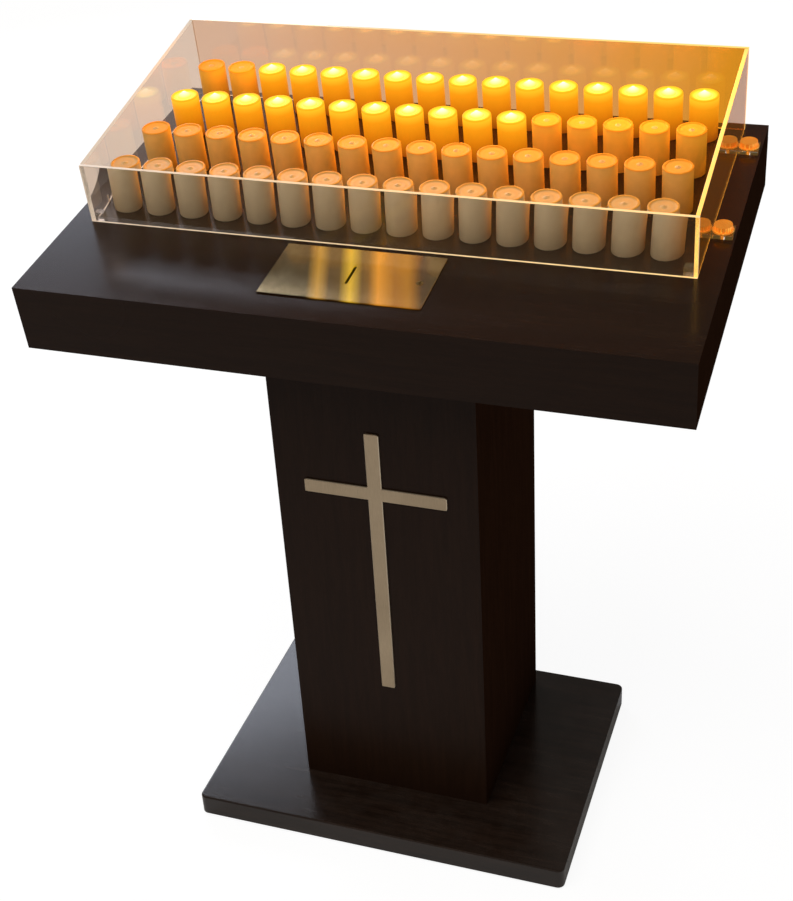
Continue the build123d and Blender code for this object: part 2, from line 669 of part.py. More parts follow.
with BuildPart() as coin_chute:
    for side in (-1, 1):
        wall_x = side * (chute_x - CHUTE_WALL / 2)
        with BuildSketch(CHUTE_SIDE.offset(wall_x)):
            chute_outline(CHUTE_LEN / 2, 0, CHUTE_DROP)
        extrude(amount=CHUTE_WALL / 2, both=True)
    with BuildSketch(CHUTE_SIDE):
        chute_strips(-CHUTE_LEN / 2, CHUTE_WALL - CHUTE_LEN / 2)
        chute_strips(CHUTE_LEN / 2 - CHUTE_WALL, CHUTE_LEN / 2)
    extrude(amount=edge_x, both=True)
    flange_w = FLANGE_X / 2 - chute_x - CHUTE_SEAM
    with BuildSketch(DECK.offset(-BOARD)):
        with Locations(*[(SLOT_X + side * (FLANGE_X - flange_w) / 2, SLOT_S) for side in (-1, 1)]):
            Rectangle(flange_w, FLANGE_S)
    extrude(amount=-CHUTE_WALL)
save(coin_chute, "coin_chute")

SENSOR_W = 12.0
SENSOR_LEN = 20.0
SENSOR_T = 14.0
SENSOR_DROP = 34.0         # its foot below the top board
SENSOR_AHEAD = 14.0        # up the slope from the slot
with BuildPart() as coin_sensor:
    with BuildSketch(DECK.offset(-BOARD - SENSOR_DROP)):
        with Locations((SLOT_X + chute_x + SENSOR_W / 2, SLOT_S + SENSOR_AHEAD)):
            Rectangle(SENSOR_W, SENSOR_LEN)
    extrude(amount=SENSOR_T)
save(coin_sensor, "coin_sensor")

with BuildPart() as key_switch_body:
    with BuildSketch(DECK):
        with Locations((KEY_X, KEY_S)):
            Circle(KEY_BODY_R)
            Circle(KEY_R + RUN, mode=Mode.SUBTRACT)
    extrude(amount=-KEY_BODY_L)
    with BuildSketch(DECK.offset(-KEY_BODY_L)):
        with Locations((KEY_X, KEY_S)):
            Circle(KEY_BODY_R)
    extrude(amount=-KEY_CAP_T)
save(key_switch_body, "key_switch_body")

with BuildPart() as key_barrel:
    with BuildSketch(DECK.offset(PLATE_T + KEY_PROUD)):
        with Locations((KEY_X, KEY_S)):
            Circle(KEY_R)
    extrude(amount=KEY_BOTTOM_GAP - KEY_BODY_L - PLATE_T - KEY_PROUD)
    with BuildSketch(DECK.offset(PLATE_T + KEY_PROUD)):
        with Locations((KEY_X, KEY_S)):
            Rectangle(KEYHOLE_W, KEYHOLE_L)
    extrude(amount=-KEYHOLE_DEPTH, mode=Mode.SUBTRACT)
save(key_barrel, "key_barrel")

# ---- candles --------------------------------------------------------------------------
def level_edges(builder, height):
    """Round edges of a part that lie this high above the table."""
    level = DECK.offset(height)
    return [e for e in builder.edges().filter_by(GeomType.CIRCLE)
            if abs(level.to_local_coords(e.center()).Z) < 1e-4]


def discs(points, radius, height, amount, mode=Mode.ADD):
    """Round columns or bores of the open part, from this height above the table."""
    with BuildSketch(DECK.offset(height)) as rounds:
        with Locations(*points):
            Circle(radius)
    extrude(rounds.sketch, amount=amount, mode=mode)


def candle_shells(builder, points):
    """Hollow candle bodies with a rim and a dished top, over their sockets."""
    dish = CANDLE_H - CANDLE_DISH
    discs(points, CANDLE_R, 0, CANDLE_H)
    fillet(level_edges(builder, CANDLE_H), CANDLE_ROUND)
    discs(points, CANDLE_R - CANDLE_RIM, CANDLE_H, -CANDLE_DISH, Mode.SUBTRACT)
    discs(points, CANDLE_R - CANDLE_WALL, CANDLE_WALL, dish - 2 * CANDLE_WALL, Mode.SUBTRACT)
    discs(points, SOCKET_R, 0, CANDLE_WALL, Mode.SUBTRACT)
    discs(points, TIP_R, dish, -CANDLE_WALL, Mode.SUBTRACT)


def row_points(row, lit):
    glowing = LIT.get(row, range(0))
    return [(x, ROWS[row - 1]) for i, x in enumerate(COLUMNS) if (i in glowing) == lit]


for row in (1, 2, 3, 4):
    for lit in (False, True):
        places = row_points(row, lit)
        if places:
            with BuildPart() as candles:
                candle_shells(candles, places)
            suffix = ("_lit" if lit else "_unlit") if row in LIT else ""
            save(candles, f"candles_row_{row}{suffix}")

for lit in (False, True):
    with BuildPart() as flame_tips:
        for row in (1, 2, 3, 4):
            places = row_points(row, lit)
            if places:
                discs(places, TIP_R, CANDLE_H - CANDLE_DISH - CANDLE_WALL, CANDLE_WALL)
                with BuildSketch(DECK.offset(CANDLE_H - CANDLE_DISH)):
                    with Locations(*places):
                        Circle(TIP_R)
                extrude(amount=TIP_H, taper=TIP_TAPER)
    save(flame_tips, "flame_tips_lit" if lit else "flame_tips_unlit")

PCB_T = 1.6
PCB_GAP = 4.0
with BuildPart() as candle_sockets:
    with BuildSketch(DECK):
        with Locations(*candle_points):
            Circle(SOCKET_R)
    extrude(amount=SOCKET_H)
    with BuildSketch(DECK):
        with Locations(*candle_points):
            Circle(SOCKET_STEM_R)
    extrude(amount=-BOARD - PCB_GAP)
save(candle_sockets, "candle_sockets")

LED_BOARD_W = 20.0
LED_BOARD_END = 4.0        # short of the candles' pitch at each end
with BuildPart() as led_boards:
    with BuildSketch(DECK.offset(-BOARD - PCB_GAP)):
        for s in ROWS:
            with Locations((0, s)):
                Rectangle(CANDLE_PITCH * CANDLE_COLS - 2 * LED_BOARD_END, LED_BOARD_W)
    extrude(amount=-PCB_T)
save(led_boards, "led_boards")

# ---- electrics in the table box -------------------------------------------------------
FLOOR_N = -TABLE_T + TABLE_BOTTOM_T
CONTROL_X = 230.0
CONTROL_S = 300.0
CONTROL_W = 130.0
CONTROL_D = 90.0
SUPPLY_X = -230.0
SUPPLY_S = 440.0
SUPPLY_W = 150.0
SUPPLY_D = 60.0
SUPPLY_H = 34.0
SUPPLY_ROUND = 3.0
STANDOFF = 8.0
STANDOFF_R = 3.5
STANDOFF_INSET = 7.0
SOCKET_STRIP = (20.0, 60.0)
SOCKET_STRIP_X = -40.0
CHIP = (30.0, 30.0)
CHIP_AT = (15.0, 12.0)
CHIP_H = 8.0
with BuildPart() as control_board:
    with BuildSketch(DECK.offset(FLOOR_N + STANDOFF)):
        with Locations((CONTROL_X, CONTROL_S)):
            Rectangle(CONTROL_W, CONTROL_D)
    extrude(amount=PCB_T)
    with BuildSketch(DECK.offset(FLOOR_N + STANDOFF + PCB_T)):
        with Locations((CONTROL_X + SOCKET_STRIP_X, CONTROL_S)):
            Rectangle(*SOCKET_STRIP)
        with Locations((CONTROL_X + CHIP_AT[0], CONTROL_S + CHIP_AT[1])):
            Rectangle(*CHIP)
    extrude(amount=CHIP_H)
    with BuildSketch(DECK.offset(FLOOR_N)):
        with Locations((CONTROL_X, CONTROL_S)):
            with GridLocations(CONTROL_W - 2 * STANDOFF_INSET, CONTROL_D - 2 * STANDOFF_INSET, 2, 2):
                Circle(STANDOFF_R)
    extrude(amount=STANDOFF)
save(control_board, "control_board")

with BuildPart() as power_supply:
    with BuildSketch(DECK.offset(FLOOR_N)):
        with Locations((SUPPLY_X, SUPPLY_S)):
            Rectangle(SUPPLY_W, SUPPLY_D)
    extrude(amount=SUPPLY_H)
    fillet(power_supply.edges().filter_by(Axis(DECK.origin, normal)), SUPPLY_ROUND)
save(power_supply, "power_supply")

RIBBON_W = 16.0
RIBBON_T = 1.2
RIBBON_DROP = (-20.0, -42.0)    # foot of the upright run, from the board's middle
led_under = -BOARD - PCB_GAP - PCB_T
with BuildPart() as ribbon_cables:
    with BuildSketch(DECK.offset(led_under)):
        pad(CONTROL_X - RIBBON_W / 2, CONTROL_X + RIBBON_W / 2, ROWS[0], ROWS[-1])
    extrude(amount=-RIBBON_T)
    with BuildSketch(DECK.offset(FLOOR_N + STANDOFF + PCB_T)):
        ribbon_x = CONTROL_X + RIBBON_DROP[0]
        ribbon_s = CONTROL_S + RIBBON_DROP[1]
        pad(ribbon_x, ribbon_x + RIBBON_W, ribbon_s, ribbon_s + RIBBON_T)
    extrude(amount=led_under - RIBBON_T - (FLOOR_N + STANDOFF + PCB_T))
save(ribbon_cables, "ribbon_cables")

with BuildPart() as inlet_module:
    with BuildSketch(MODULE):
        Rectangle(MODULE_W, MODULE_H)
    extrude(amount=MODULE_FLANGE)
    with BuildSketch(MODULE):
        Rectangle(MODULE_W - 2 * MODULE_STEP, MODULE_H - 2 * MODULE_STEP)
    extrude(amount=-MODULE_DEPTH)
    with BuildSketch(MODULE.offset(MODULE_FLANGE)):
        with Locations((MODULE_W * SOCKET_AT, 0)):
            Rectangle(SOCKET_W, SOCKET_TALL)
        with Locations((MODULE_W * ROCKER_AT, 0)):
            Rectangle(ROCKER_W + 2 * ROCKER_SIDE_GAP, ROCKER_LEN + 2 * ROCKER_END_GAP)
    extrude(amount=-SOCKET_DEPTH, mode=Mode.SUBTRACT)
    with BuildSketch(MODULE.offset(MODULE_FLANGE - SOCKET_DEPTH)):
        for x, y in INLET_PINS:
            with Locations((x + MODULE_W * SOCKET_AT, y)):
                Rectangle(INLET_PIN_W, INLET_PIN_T)
    extrude(amount=INLET_PIN_L)
save(inlet_module, "inlet_module")

PIVOT_DEPTH = 2.0
rocker_pivot = MODULE.from_local_coords(Vector(MODULE_W * ROCKER_AT, 0, MODULE_FLANGE - PIVOT_DEPTH))
rocked_up = normal * cos(radians(ROCK)) + slope * sin(radians(ROCK))
ROCKER_SIDE = Plane(origin=rocker_pivot, x_dir=rocked_up, z_dir=(-1, 0, 0))
with BuildPart() as switch_rocker:
    with BuildSketch(ROCKER_SIDE):
        half = ROCKER_LEN / 2
        Polygon((-half, -ROCKER_HEEL), (half, -ROCKER_HEEL), (half, ROCKER_LIP), (0, ROCKER_DIP),
                (-half, ROCKER_LIP), align=None)
    extrude(amount=ROCKER_W / 2, both=True)
    with BuildSketch(ROCKER_SIDE):
        Circle(ROCKER_PIVOT_R)
    extrude(amount=ROCKER_W / 2 + ROCKER_PIVOT_OUT, both=True)
save(switch_rocker, "switch_rocker")

# ---- clear cover ----------------------------------------------------------------------
cover_x = COVER_W / 2
cover_back_s = COVER_S + COVER_D
COVER_BED = DECK.offset(LIFT_GAP)
with BuildPart() as cover_front:
    with BuildSketch(COVER_BED):
        pad(-cover_x, cover_x, COVER_S, COVER_S + ACRYLIC)
    extrude(amount=COVER_FRONT_H)
save(cover_front, "cover_front")

with BuildPart() as cover_back:
    with BuildSketch(COVER_BED):
        pad(-cover_x, cover_x, cover_back_s - ACRYLIC, cover_back_s)
    extrude(amount=COVER_BACK_H)
save(cover_back, "cover_back")


def cover_side(x0):
    """Side panel between front and back, its top edge rising to the back."""
    origin = deck_point(x0, COVER_S, LIFT_GAP)
    rise = (COVER_BACK_H - COVER_FRONT_H) / COVER_D
    far = COVER_D - ACRYLIC
    with BuildSketch(Plane(origin=origin, x_dir=slope, z_dir=(1, 0, 0))) as outline:
        Polygon((ACRYLIC, 0), (far, 0), (far, COVER_FRONT_H + rise * far),
                (ACRYLIC, COVER_FRONT_H + rise * ACRYLIC), align=None)
    extrude(outline.sketch, amount=ACRYLIC)


with BuildPart() as cover_left:
    cover_side(-cover_x)
    with BuildSketch(COVER_BED):
        with Locations(*pin_points):
            Circle(PIN_R)
    extrude(amount=PIN_L, mode=Mode.SUBTRACT)
save(cover_left, "cover_left")

with BuildPart() as cover_right:
    cover_side(cover_x - ACRYLIC)
save(cover_right, "cover_right")

with BuildPart() as cover_corner_blocks:
    with BuildSketch(COVER_BED):
        for x in (-cover_x + ACRYLIC + BLOCK / 2, cover_x - ACRYLIC - BLOCK / 2):
            for s in (COVER_S + ACRYLIC + BLOCK / 2,):
                with Locations((x, s)):
                    Rectangle(BLOCK, BLOCK)
    extrude(amount=BLOCK)
save(cover_corner_blocks, "cover_corner_blocks")

with BuildPart() as cover_lugs:
    with BuildSketch(COVER_BED):
        for x, s in insert_points:
            with Locations((cover_x + LUG_REACH / 2, s)):
                Rectangle(LUG_REACH, LUG_W)
            with Locations((x, s)):
                Circle(SCREW_R + RUN, mode=Mode.SUBTRACT)
    extrude(amount=ACRYLIC)
save(cover_lugs, "cover_lugs")

with BuildPart() as cover_pins:
    with BuildSketch(DECK.offset(LIFT_GAP + PIN_L)):
        with Locations(*pin_points):
            Circle(PIN_R)
    extrude(amount=-2 * PIN_L - LIFT_GAP)
save(cover_pins, "cover_pins")

with BuildPart() as screw_inserts:
    with BuildSketch(DECK):
        for x, s in insert_points:
            with Locations((x, s)):
                Circle(INSERT_R)
                Circle(SCREW_R + RUN, mode=Mode.SUBTRACT)
    extrude(amount=-BOARD)
save(screw_inserts, "screw_inserts")

head_seat = 2 * LIFT_GAP + ACRYLIC
for name, (x, s) in zip(("thumbscrew_front", "thumbscrew_rear"), insert_points):
    with BuildPart() as thumbscrew:
        discs([(x, s)], HEAD_R, head_seat, FLANGE_T)
        discs([(x, s)], HEAD_R - HEAD_STEP, head_seat + FLANGE_T, HEAD_H - FLANGE_T)
        chamfer(level_edges(thumbscrew, head_seat + HEAD_H), HEAD_CHAMFER)
    save(thumbscrew, name)

    with BuildPart() as shank:
        discs([(x, s)], SCREW_R, head_seat, -head_seat - SCREW_L)
    save(shank, name + "_shank")
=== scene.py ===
"""Looks of the electric votive candle rack: laminate, metal, clear cover and candles."""
from math import cos, radians

import bmesh
import bpy
from mathutils import Matrix, Vector


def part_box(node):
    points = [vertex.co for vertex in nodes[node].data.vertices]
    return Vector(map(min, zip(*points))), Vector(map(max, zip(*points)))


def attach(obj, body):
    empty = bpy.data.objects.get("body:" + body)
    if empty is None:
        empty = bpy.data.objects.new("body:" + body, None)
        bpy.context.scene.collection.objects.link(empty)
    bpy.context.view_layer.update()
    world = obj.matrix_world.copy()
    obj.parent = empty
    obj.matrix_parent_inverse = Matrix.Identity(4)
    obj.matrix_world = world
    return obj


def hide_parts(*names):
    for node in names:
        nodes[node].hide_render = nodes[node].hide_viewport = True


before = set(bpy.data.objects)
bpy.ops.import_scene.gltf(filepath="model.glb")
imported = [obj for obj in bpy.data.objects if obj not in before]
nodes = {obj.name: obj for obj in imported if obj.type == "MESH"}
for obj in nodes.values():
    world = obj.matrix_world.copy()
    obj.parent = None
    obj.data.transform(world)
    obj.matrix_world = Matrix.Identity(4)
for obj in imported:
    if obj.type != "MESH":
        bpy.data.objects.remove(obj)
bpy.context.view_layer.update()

MM = 0.001
scene = bpy.context.scene

# ---- places, worked out from the frame -------------------------------------------------
TILT = radians(7)
BOARD = 18 * MM
table_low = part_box("table_top")[0]
deck_origin = Vector((0, table_low.y, table_low.z + BOARD * cos(TILT)))
DECK = Matrix.Translation(deck_origin) @ Matrix.Rotation(TILT, 4, "X")
CANDLE_PITCH = 46.5 * MM
CANDLE_COLS = 16
CANDLE_X = -8 * MM
ROW_PITCH = 94.5 * MM
FIRST_ROW = 218 * MM
CANDLE_R = 19 * MM
CANDLE_H = 60 * MM
RIM = 3 * MM
DISH = 1.4 * MM
TIP_SIZES = {True: (10 * MM, 7 * MM), False: (4 * MM, 1.6 * MM)}    # radius, height
LIT = {3: range(0, 11), 4: range(2, 16)}
COVER_X = 391 * MM

# ---- camera ----------------------------------------------------------------------------
camera_data = bpy.data.cameras.new("view")
camera_data.lens = 62.82
camera_data.sensor_width = 36
camera = bpy.data.objects.new("view", camera_data)
scene.collection.objects.link(camera)
right, up, back = (0.9467, 0.3176, -0.0524), (-0.1277, 0.5199, 0.8446), (0.2955, -0.7929, 0.5329)
camera.matrix_world = Matrix.Translation((0.6225, -1.7588, 1.6903)) @ Matrix((right, up, back)).transposed().to_4x4()
scene.camera = camera
scene.view_settings.view_transform = "Standard"

# ---- shader building blocks ------------------------------------------------------------


def add(tree, kind, inputs=None, **settings):
    """A shader node of this kind. An input given a socket is linked, and any other is set."""
    made = tree.nodes.new("ShaderNode" + kind)
    for key, value in settings.items():
        setattr(made, key, value)
    for key, value in (inputs or {}).items():
        if isinstance(value, bpy.types.NodeSocket):
            tree.links.new(value, made.inputs[key])
        else:
            made.inputs[key].default_value = value
    return made


def ramp(tree, factor, *stops):
    """Colours along a factor, each stop a position and a colour."""
    made = add(tree, "ValToRGB", {"Fac": factor})
    elements = made.color_ramp.elements
    while len(elements) < len(stops):
        elements.new(0.5)
    for element, (position, colour) in zip(elements, stops):
        element.position = position
        element.color = (*colour, 1)
    return made.outputs["Color"]


def mix(tree, factor, a, b, blend="MIX"):
    """Two colours mixed by a factor."""
    made = add(tree, "Mix", data_type="RGBA", blend_type=blend)
    for slot, value in ((0, factor), (6, a), (7, b)):
        if isinstance(value, bpy.types.NodeSocket):
            tree.links.new(value, made.inputs[slot])
        else:
            made.inputs[slot].default_value = value if slot == 0 else (*value, 1)
    return made.outputs[2]


def maths(tree, operation, a, b=0.0, c=0.0):
    made = add(tree, "Math", {0: a, 1: b}, operation=operation)
    if operation in ("MULTIPLY_ADD", "SMOOTH_MIN", "SMOOTH_MAX"):
        if isinstance(c, bpy.types.NodeSocket):
            tree.links.new(c, made.inputs[2])
        else:
            made.inputs[2].default_value = c
    return made.outputs[0]


def spread(tree, value, low, high, to_low=0.0, to_high=1.0):
    """A value brought from one range to another, and kept inside it."""
    made = add(tree, "MapRange", {"Value": value, "From Min": low, "From Max": high,
                                  "To Min": to_low, "To Max": to_high})
    return made.outputs["Result"]


def new_group(name, inputs, outputs):
    """An empty node group. A four-number default makes a colour, three a vector, one a value."""
    group = bpy.data.node_groups.new(name, "ShaderNodeTree")
    kinds = {4: "NodeSocketColor", 3: "NodeSocketVector", 1: "NodeSocketFloat"}
    for label, value in inputs.items():
        size = len(value) if hasattr(value, "__len__") else 1
        socket = group.interface.new_socket(name=label, in_out="INPUT", socket_type=kinds[size])
        socket.default_value = value
    for label, size in outputs.items():
        group.interface.new_socket(name=label, in_out="OUTPUT", socket_type=kinds[size])
    return group, group.nodes.new("NodeGroupInput"), group.nodes.new("NodeGroupOutput")


def placed(tree, group, **inputs):
    """A group's node in a material. Underscores in the names stand for spaces."""
    made = tree.nodes.new("ShaderNodeGroup")
    made.node_tree = group
    for key, value in inputs.items():
        socket = made.inputs[key.replace("_", " ")]
        if isinstance(value, bpy.types.NodeSocket):
            tree.links.new(value, socket)
        else:
            socket.default_value = value
    return made


def make_long_grain():
    """Wood grain drawn along one axis, with fine pores and a slow change of tone."""
    group, start, end = new_group(
        "long_grain",
        {"Dark": (0.01, 0.006, 0.004, 1), "Light": (0.03, 0.015, 0.01, 1),
         "Stretch": (1.0, 1.0, 1.0), "Pore": 0.5},
        {"Color": 4, "Height": 1, "Gloss": 1})
    where = add(group, "TexCoord").outputs["Object"]
    drawn = add(group, "VectorMath", {0: where, 1: start.outputs["Stretch"]}, operation="MULTIPLY").outputs[0]
    broad = add(group, "TexNoise", {"Vector": drawn, "Scale": 9.0, "Detail": 4.0, "Roughness": 0.6, "Distortion": 0.6})
    fine = add(group, "TexNoise", {"Vector": drawn, "Scale": 70.0, "Detail": 3.0, "Roughness": 0.7})
    slow = add(group, "TexNoise", {"Vector": where, "Scale": 2.2, "Detail": 2.0})
    bands = spread(group, broad.outputs["Fac"], 0.35, 0.68)
    pores = spread(group, fine.outputs["Fac"], 0.42, 0.60)
    tone = maths(group, "MULTIPLY_ADD", pores, start.outputs["Pore"], bands)
    tone = maths(group, "MULTIPLY_ADD", slow.outputs["Fac"], 0.5, tone)
    colour = mix(group, spread(group, tone, 0.2, 1.9), (0, 0, 0), (1, 1, 1))
    group.links.new(mix_sockets(group, colour, start.outputs["Dark"], start.outputs["Light"]), end.inputs["Color"])
    group.links.new(pores, end.inputs["Height"])
    group.links.new(slow.outputs["Fac"], end.inputs["Gloss"])
    return group


def mix_sockets(tree, factor, a, b):
    made = add(tree, "Mix", data_type="RGBA")
    for slot, value in ((0, factor), (6, a), (7, b)):
        tree.links.new(value, made.inputs[slot])
    return made.outputs[2]


def multiplied(tree, a, b):
    made = add(tree, "Mix", {0: 1.0}, data_type="RGBA", blend_type="MULTIPLY")
    tree.links.new(a, made.inputs[6])
    tree.links.new(b, made.inputs[7])
    return made.outputs[2]


def summed(tree, a, b):
    made = add(tree, "Mix", {0: 1.0}, data_type="RGBA", blend_type="ADD")
    tree.links.new(a, made.inputs[6])
    tree.links.new(b, made.inputs[7])
    return made.outputs[2]


def make_deck_place():
    """Where a point lies on the table: across it, up it, above it, and from its candle's axis."""
    group, _, end = new_group("deck_place", {}, {"Across": 1, "Up Slope": 1, "Height": 1, "Off Axis": 1})
    where = add(group, "TexCoord").outputs["Object"]
    moved = add(group, "Mapping", {"Vector": where, "Location": deck_origin, "Rotation": (TILT, 0, 0)},
                vector_type="TEXTURE")
    parts = add(group, "SeparateXYZ", {"Vector": moved.outputs["Vector"]}).outputs
    half_rows = (CANDLE_COLS / 2) % 1
    column = maths(group, "FRACT", maths(group, "MULTIPLY_ADD", parts["X"], 1 / CANDLE_PITCH,
                                             CANDLE_COLS + half_rows - CANDLE_X / CANDLE_PITCH))
    side = maths(group, "MULTIPLY", maths(group, "SUBTRACT", column, 0.5), CANDLE_PITCH)
    row = maths(group, "FRACT", maths(group, "MULTIPLY_ADD", parts["Y"], 1 / ROW_PITCH, 4.5 - FIRST_ROW / ROW_PITCH))
    depth = maths(group, "MULTIPLY", maths(group, "SUBTRACT", row, 0.5), ROW_PITCH)
    squares = maths(group, "ADD", maths(group, "MULTIPLY", side, side), maths(group, "MULTIPLY", depth, depth))
    group.links.new(parts["X"], end.inputs["Across"])
    group.links.new(parts["Z"], end.inputs["Height"])
    group.links.new(maths(group, "SQRT", squares), end.inputs["Off Axis"])
    group.links.new(parts["Y"], end.inputs["Up Slope"])
    return group


def make_mottle():
    """Soft unevenness for moulded and cast surfaces."""
    group, start, end = new_group("mottle", {"Size": 30.0, "Contrast": 0.5}, {"Mask": 1, "Height": 1})
    where = add(group, "TexCoord").outputs["Object"]
    cloud = add(group, "TexNoise", {"Vector": where, "Scale": start.outputs["Size"], "Detail": 5.0, "Roughness": 0.6})
    centred = maths(group, "SUBTRACT", cloud.outputs["Fac"], 0.5)
    group.links.new(maths(group, "MULTIPLY_ADD", centred, start.outputs["Contrast"], 0.5), end.inputs["Mask"])
    group.links.new(cloud.outputs["Fac"], end.inputs["Height"])
    return group


def make_brushed():
    """Hair lines drawn along one axis of a rolled or brushed sheet."""
    group, start, end = new_group("brushed", {"Stretch": (1.0, 40.0, 40.0), "Fineness": 60.0}, {"Line": 1, "Tone": 1})
    where = add(group, "TexCoord").outputs["Object"]
    drawn = add(group, "VectorMath", {0: where, 1: start.outputs["Stretch"]}, operation="MULTIPLY").outputs[0]
    lines = add(group, "TexNoise", {"Vector": drawn, "Scale": start.outputs["Fineness"],
                                    "Detail": 4.0, "Roughness": 0.7})
    cloud = add(group, "TexNoise", {"Vector": where, "Scale": 14.0, "Detail": 3.0})
    group.links.new(lines.outputs["Fac"], end.inputs["Line"])
    group.links.new(cloud.outputs["Fac"], end.inputs["Tone"])
    return group


def make_settled_dust():
    """Fine dust that lies on what faces up, in patches."""
    group, start, end = new_group("settled_dust", {"Amount": 0.2}, {"Mask": 1})
    facing = add(group, "SeparateXYZ", {"Vector": add(group, "NewGeometry").outputs["Normal"]}).outputs["Z"]
    where = add(group, "TexCoord").outputs["Object"]
    patches = add(group, "TexNoise", {"Vector": where, "Scale": 24.0, "Detail": 6.0, "Roughness": 0.7})
    level = spread(group, facing, 0.6, 1.0)
    lying = maths(group, "MULTIPLY", level, spread(group, patches.outputs["Fac"], 0.4, 0.8))
    group.links.new(maths(group, "MULTIPLY", lying, start.outputs["Amount"]), end.inputs["Mask"])
    return group


LONG_GRAIN = make_long_grain()
DECK_PLACE = make_deck_place()
MOTTLE = make_mottle()
BRUSHED = make_brushed()
DUST = make_settled_dust()


def new_finish(name, **constants):
    """A material with its Principled shader, whose constants are set on its own sockets."""
    material = bpy.data.materials.new(name)
    material.use_nodes = True
    shader = material.node_tree.nodes["Principled BSDF"]
    for key, value in constants.items():
        shader.inputs[key.replace("_", " ")].default_value = value
    return material, material.node_tree, shader


def bump(tree, shader, height, strength, distance):
    made = add(tree, "Bump", {"Height": height, "Strength": strength, "Distance": distance})
    tree.links.new(made.outputs["Normal"], shader.inputs["Normal"])


# ---- finishes --------------------------------------------------------------------------


def laminate(name, dark, light, stretch, roughness, level, dust=0.06):
    material, tree, shader = new_finish(name, Specular_IOR_Level=level)
    grain = placed(tree, LONG_GRAIN, Dark=(*dark, 1), Light=(*light, 1), Stretch=stretch, Pore=0.55)
    powder = placed(tree, DUST, Amount=dust)
    colour = mix_sockets(tree, powder.outputs["Mask"], grain.outputs["Color"],
                         add(tree, "RGB").outputs[0])
    tree.nodes["RGB"].outputs[0].default_value = (0.30, 0.27, 0.24, 1)
    tree.links.new(colour, shader.inputs["Base Color"])
    tree.links.new(spread(tree, grain.outputs["Gloss"], 0.3, 0.7, roughness - 0.04, roughness + 0.05),
                   shader.inputs["Roughness"])
    bump(tree, shader, grain.outputs["Height"], 0.06, 0.0002)
    return material


def sheet_metal(name, dark, light, stretch, roughness, fineness=60.0, relief=0.12):
    material, tree, shader = new_finish(name, Metallic=1.0)
    hair = placed(tree, BRUSHED, Stretch=stretch, Fineness=fineness)
    tone = maths(tree, "MULTIPLY_ADD", hair.outputs["Line"], 0.6, maths(tree, "MULTIPLY", hair.outputs["Tone"], 0.4))
    tree.links.new(ramp(tree, tone, (0.30, dark), (0.70, light)), shader.inputs["Base Color"])
    tree.links.new(spread(tree, hair.outputs["Line"], 0.3, 0.7, roughness - 0.06, roughness + 0.08),
                   shader.inputs["Roughness"])
    bump(tree, shader, hair.outputs["Line"], relief, 0.0001)
    return material


def candlelit_plate(name):
    """Brushed plate with upright bands of the candles' reflected light, painted on as emission by place."""
    material = sheet_metal(name, (0.40, 0.31, 0.17), (0.56, 0.45, 0.26), (60.0, 1.0, 1.0), 0.17, 60.0, 0.0)
    tree = material.node_tree
    shader = tree.nodes["Principled BSDF"]
    shader.inputs["Emission Strength"].default_value = 1.0
    low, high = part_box("slot_plate")
    middle = (DECK.inverted() @ ((low + high) / 2)).y
    place = placed(tree, DECK_PLACE)
    # Painted reflections: leaning upright bands of candle light, set as emission across the plate.
    lean = maths(tree, "MULTIPLY", maths(tree, "SUBTRACT", place.outputs["Up Slope"], middle), 0.32)
    painted_streaks = ramp(tree, spread(tree, maths(tree, "ADD", place.outputs["Across"], lean), low.x, high.x),
                   (0.0, (0.0, 0.0, 0.0)), (0.22, (0.0, 0.0, 0.0)), (0.29, (0.40, 0.19, 0.01)),
                   (0.36, (0.03, 0.01, 0.0)),
                   (0.42, (0.05, 0.02, 0.0)), (0.49, (0.62, 0.36, 0.01)), (0.56, (0.08, 0.03, 0.0)),
                   (0.60, (0.14, 0.05, 0.0)), (0.66, (0.65, 0.24, 0.01)), (0.76, (0.28, 0.09, 0.0)),
                   (0.84, (0.34, 0.12, 0.0)), (0.92, (0.02, 0.0, 0.0)), (1.0, (0.0, 0.0, 0.0)))
    tree.links.new(painted_streaks, shader.inputs["Emission Color"])
    return material


def moulded(name, dark, light, roughness, size=300.0, depth=0.00005):
    material, tree, shader = new_finish(name)
    cloud = placed(tree, MOTTLE, Size=size, Contrast=0.8)
    tree.links.new(ramp(tree, cloud.outputs["Mask"], (0.3, dark), (0.7, light)), shader.inputs["Base Color"])
    tree.links.new(spread(tree, cloud.outputs["Mask"], 0.3, 0.7, roughness - 0.05, roughness + 0.05),
                   shader.inputs["Roughness"])
    bump(tree, shader, cloud.outputs["Height"], 0.25, depth)
    return material


def raw_board(name):
    material, tree, shader = new_finish(name)
    where = add(tree, "TexCoord").outputs["Object"]
    chips = add(tree, "TexVoronoi", {"Vector": where, "Scale": 220.0, "Randomness": 1.0})
    cloud = placed(tree, MOTTLE, Size=60.0, Contrast=1.0)
    flake = ramp(tree, chips.outputs["Distance"], (0.1, (0.32, 0.20, 0.10)), (0.8, (0.52, 0.37, 0.22)))
    tree.links.new(mix(tree, cloud.outputs["Mask"], (0.22, 0.13, 0.06), flake, "MULTIPLY"), shader.inputs["Base Color"])
    tree.links.new(spread(tree, cloud.outputs["Mask"], 0.3, 0.7, 0.7, 0.85), shader.inputs["Roughness"])
    bump(tree, shader, chips.outputs["Distance"], 0.3, 0.0003)
    return material


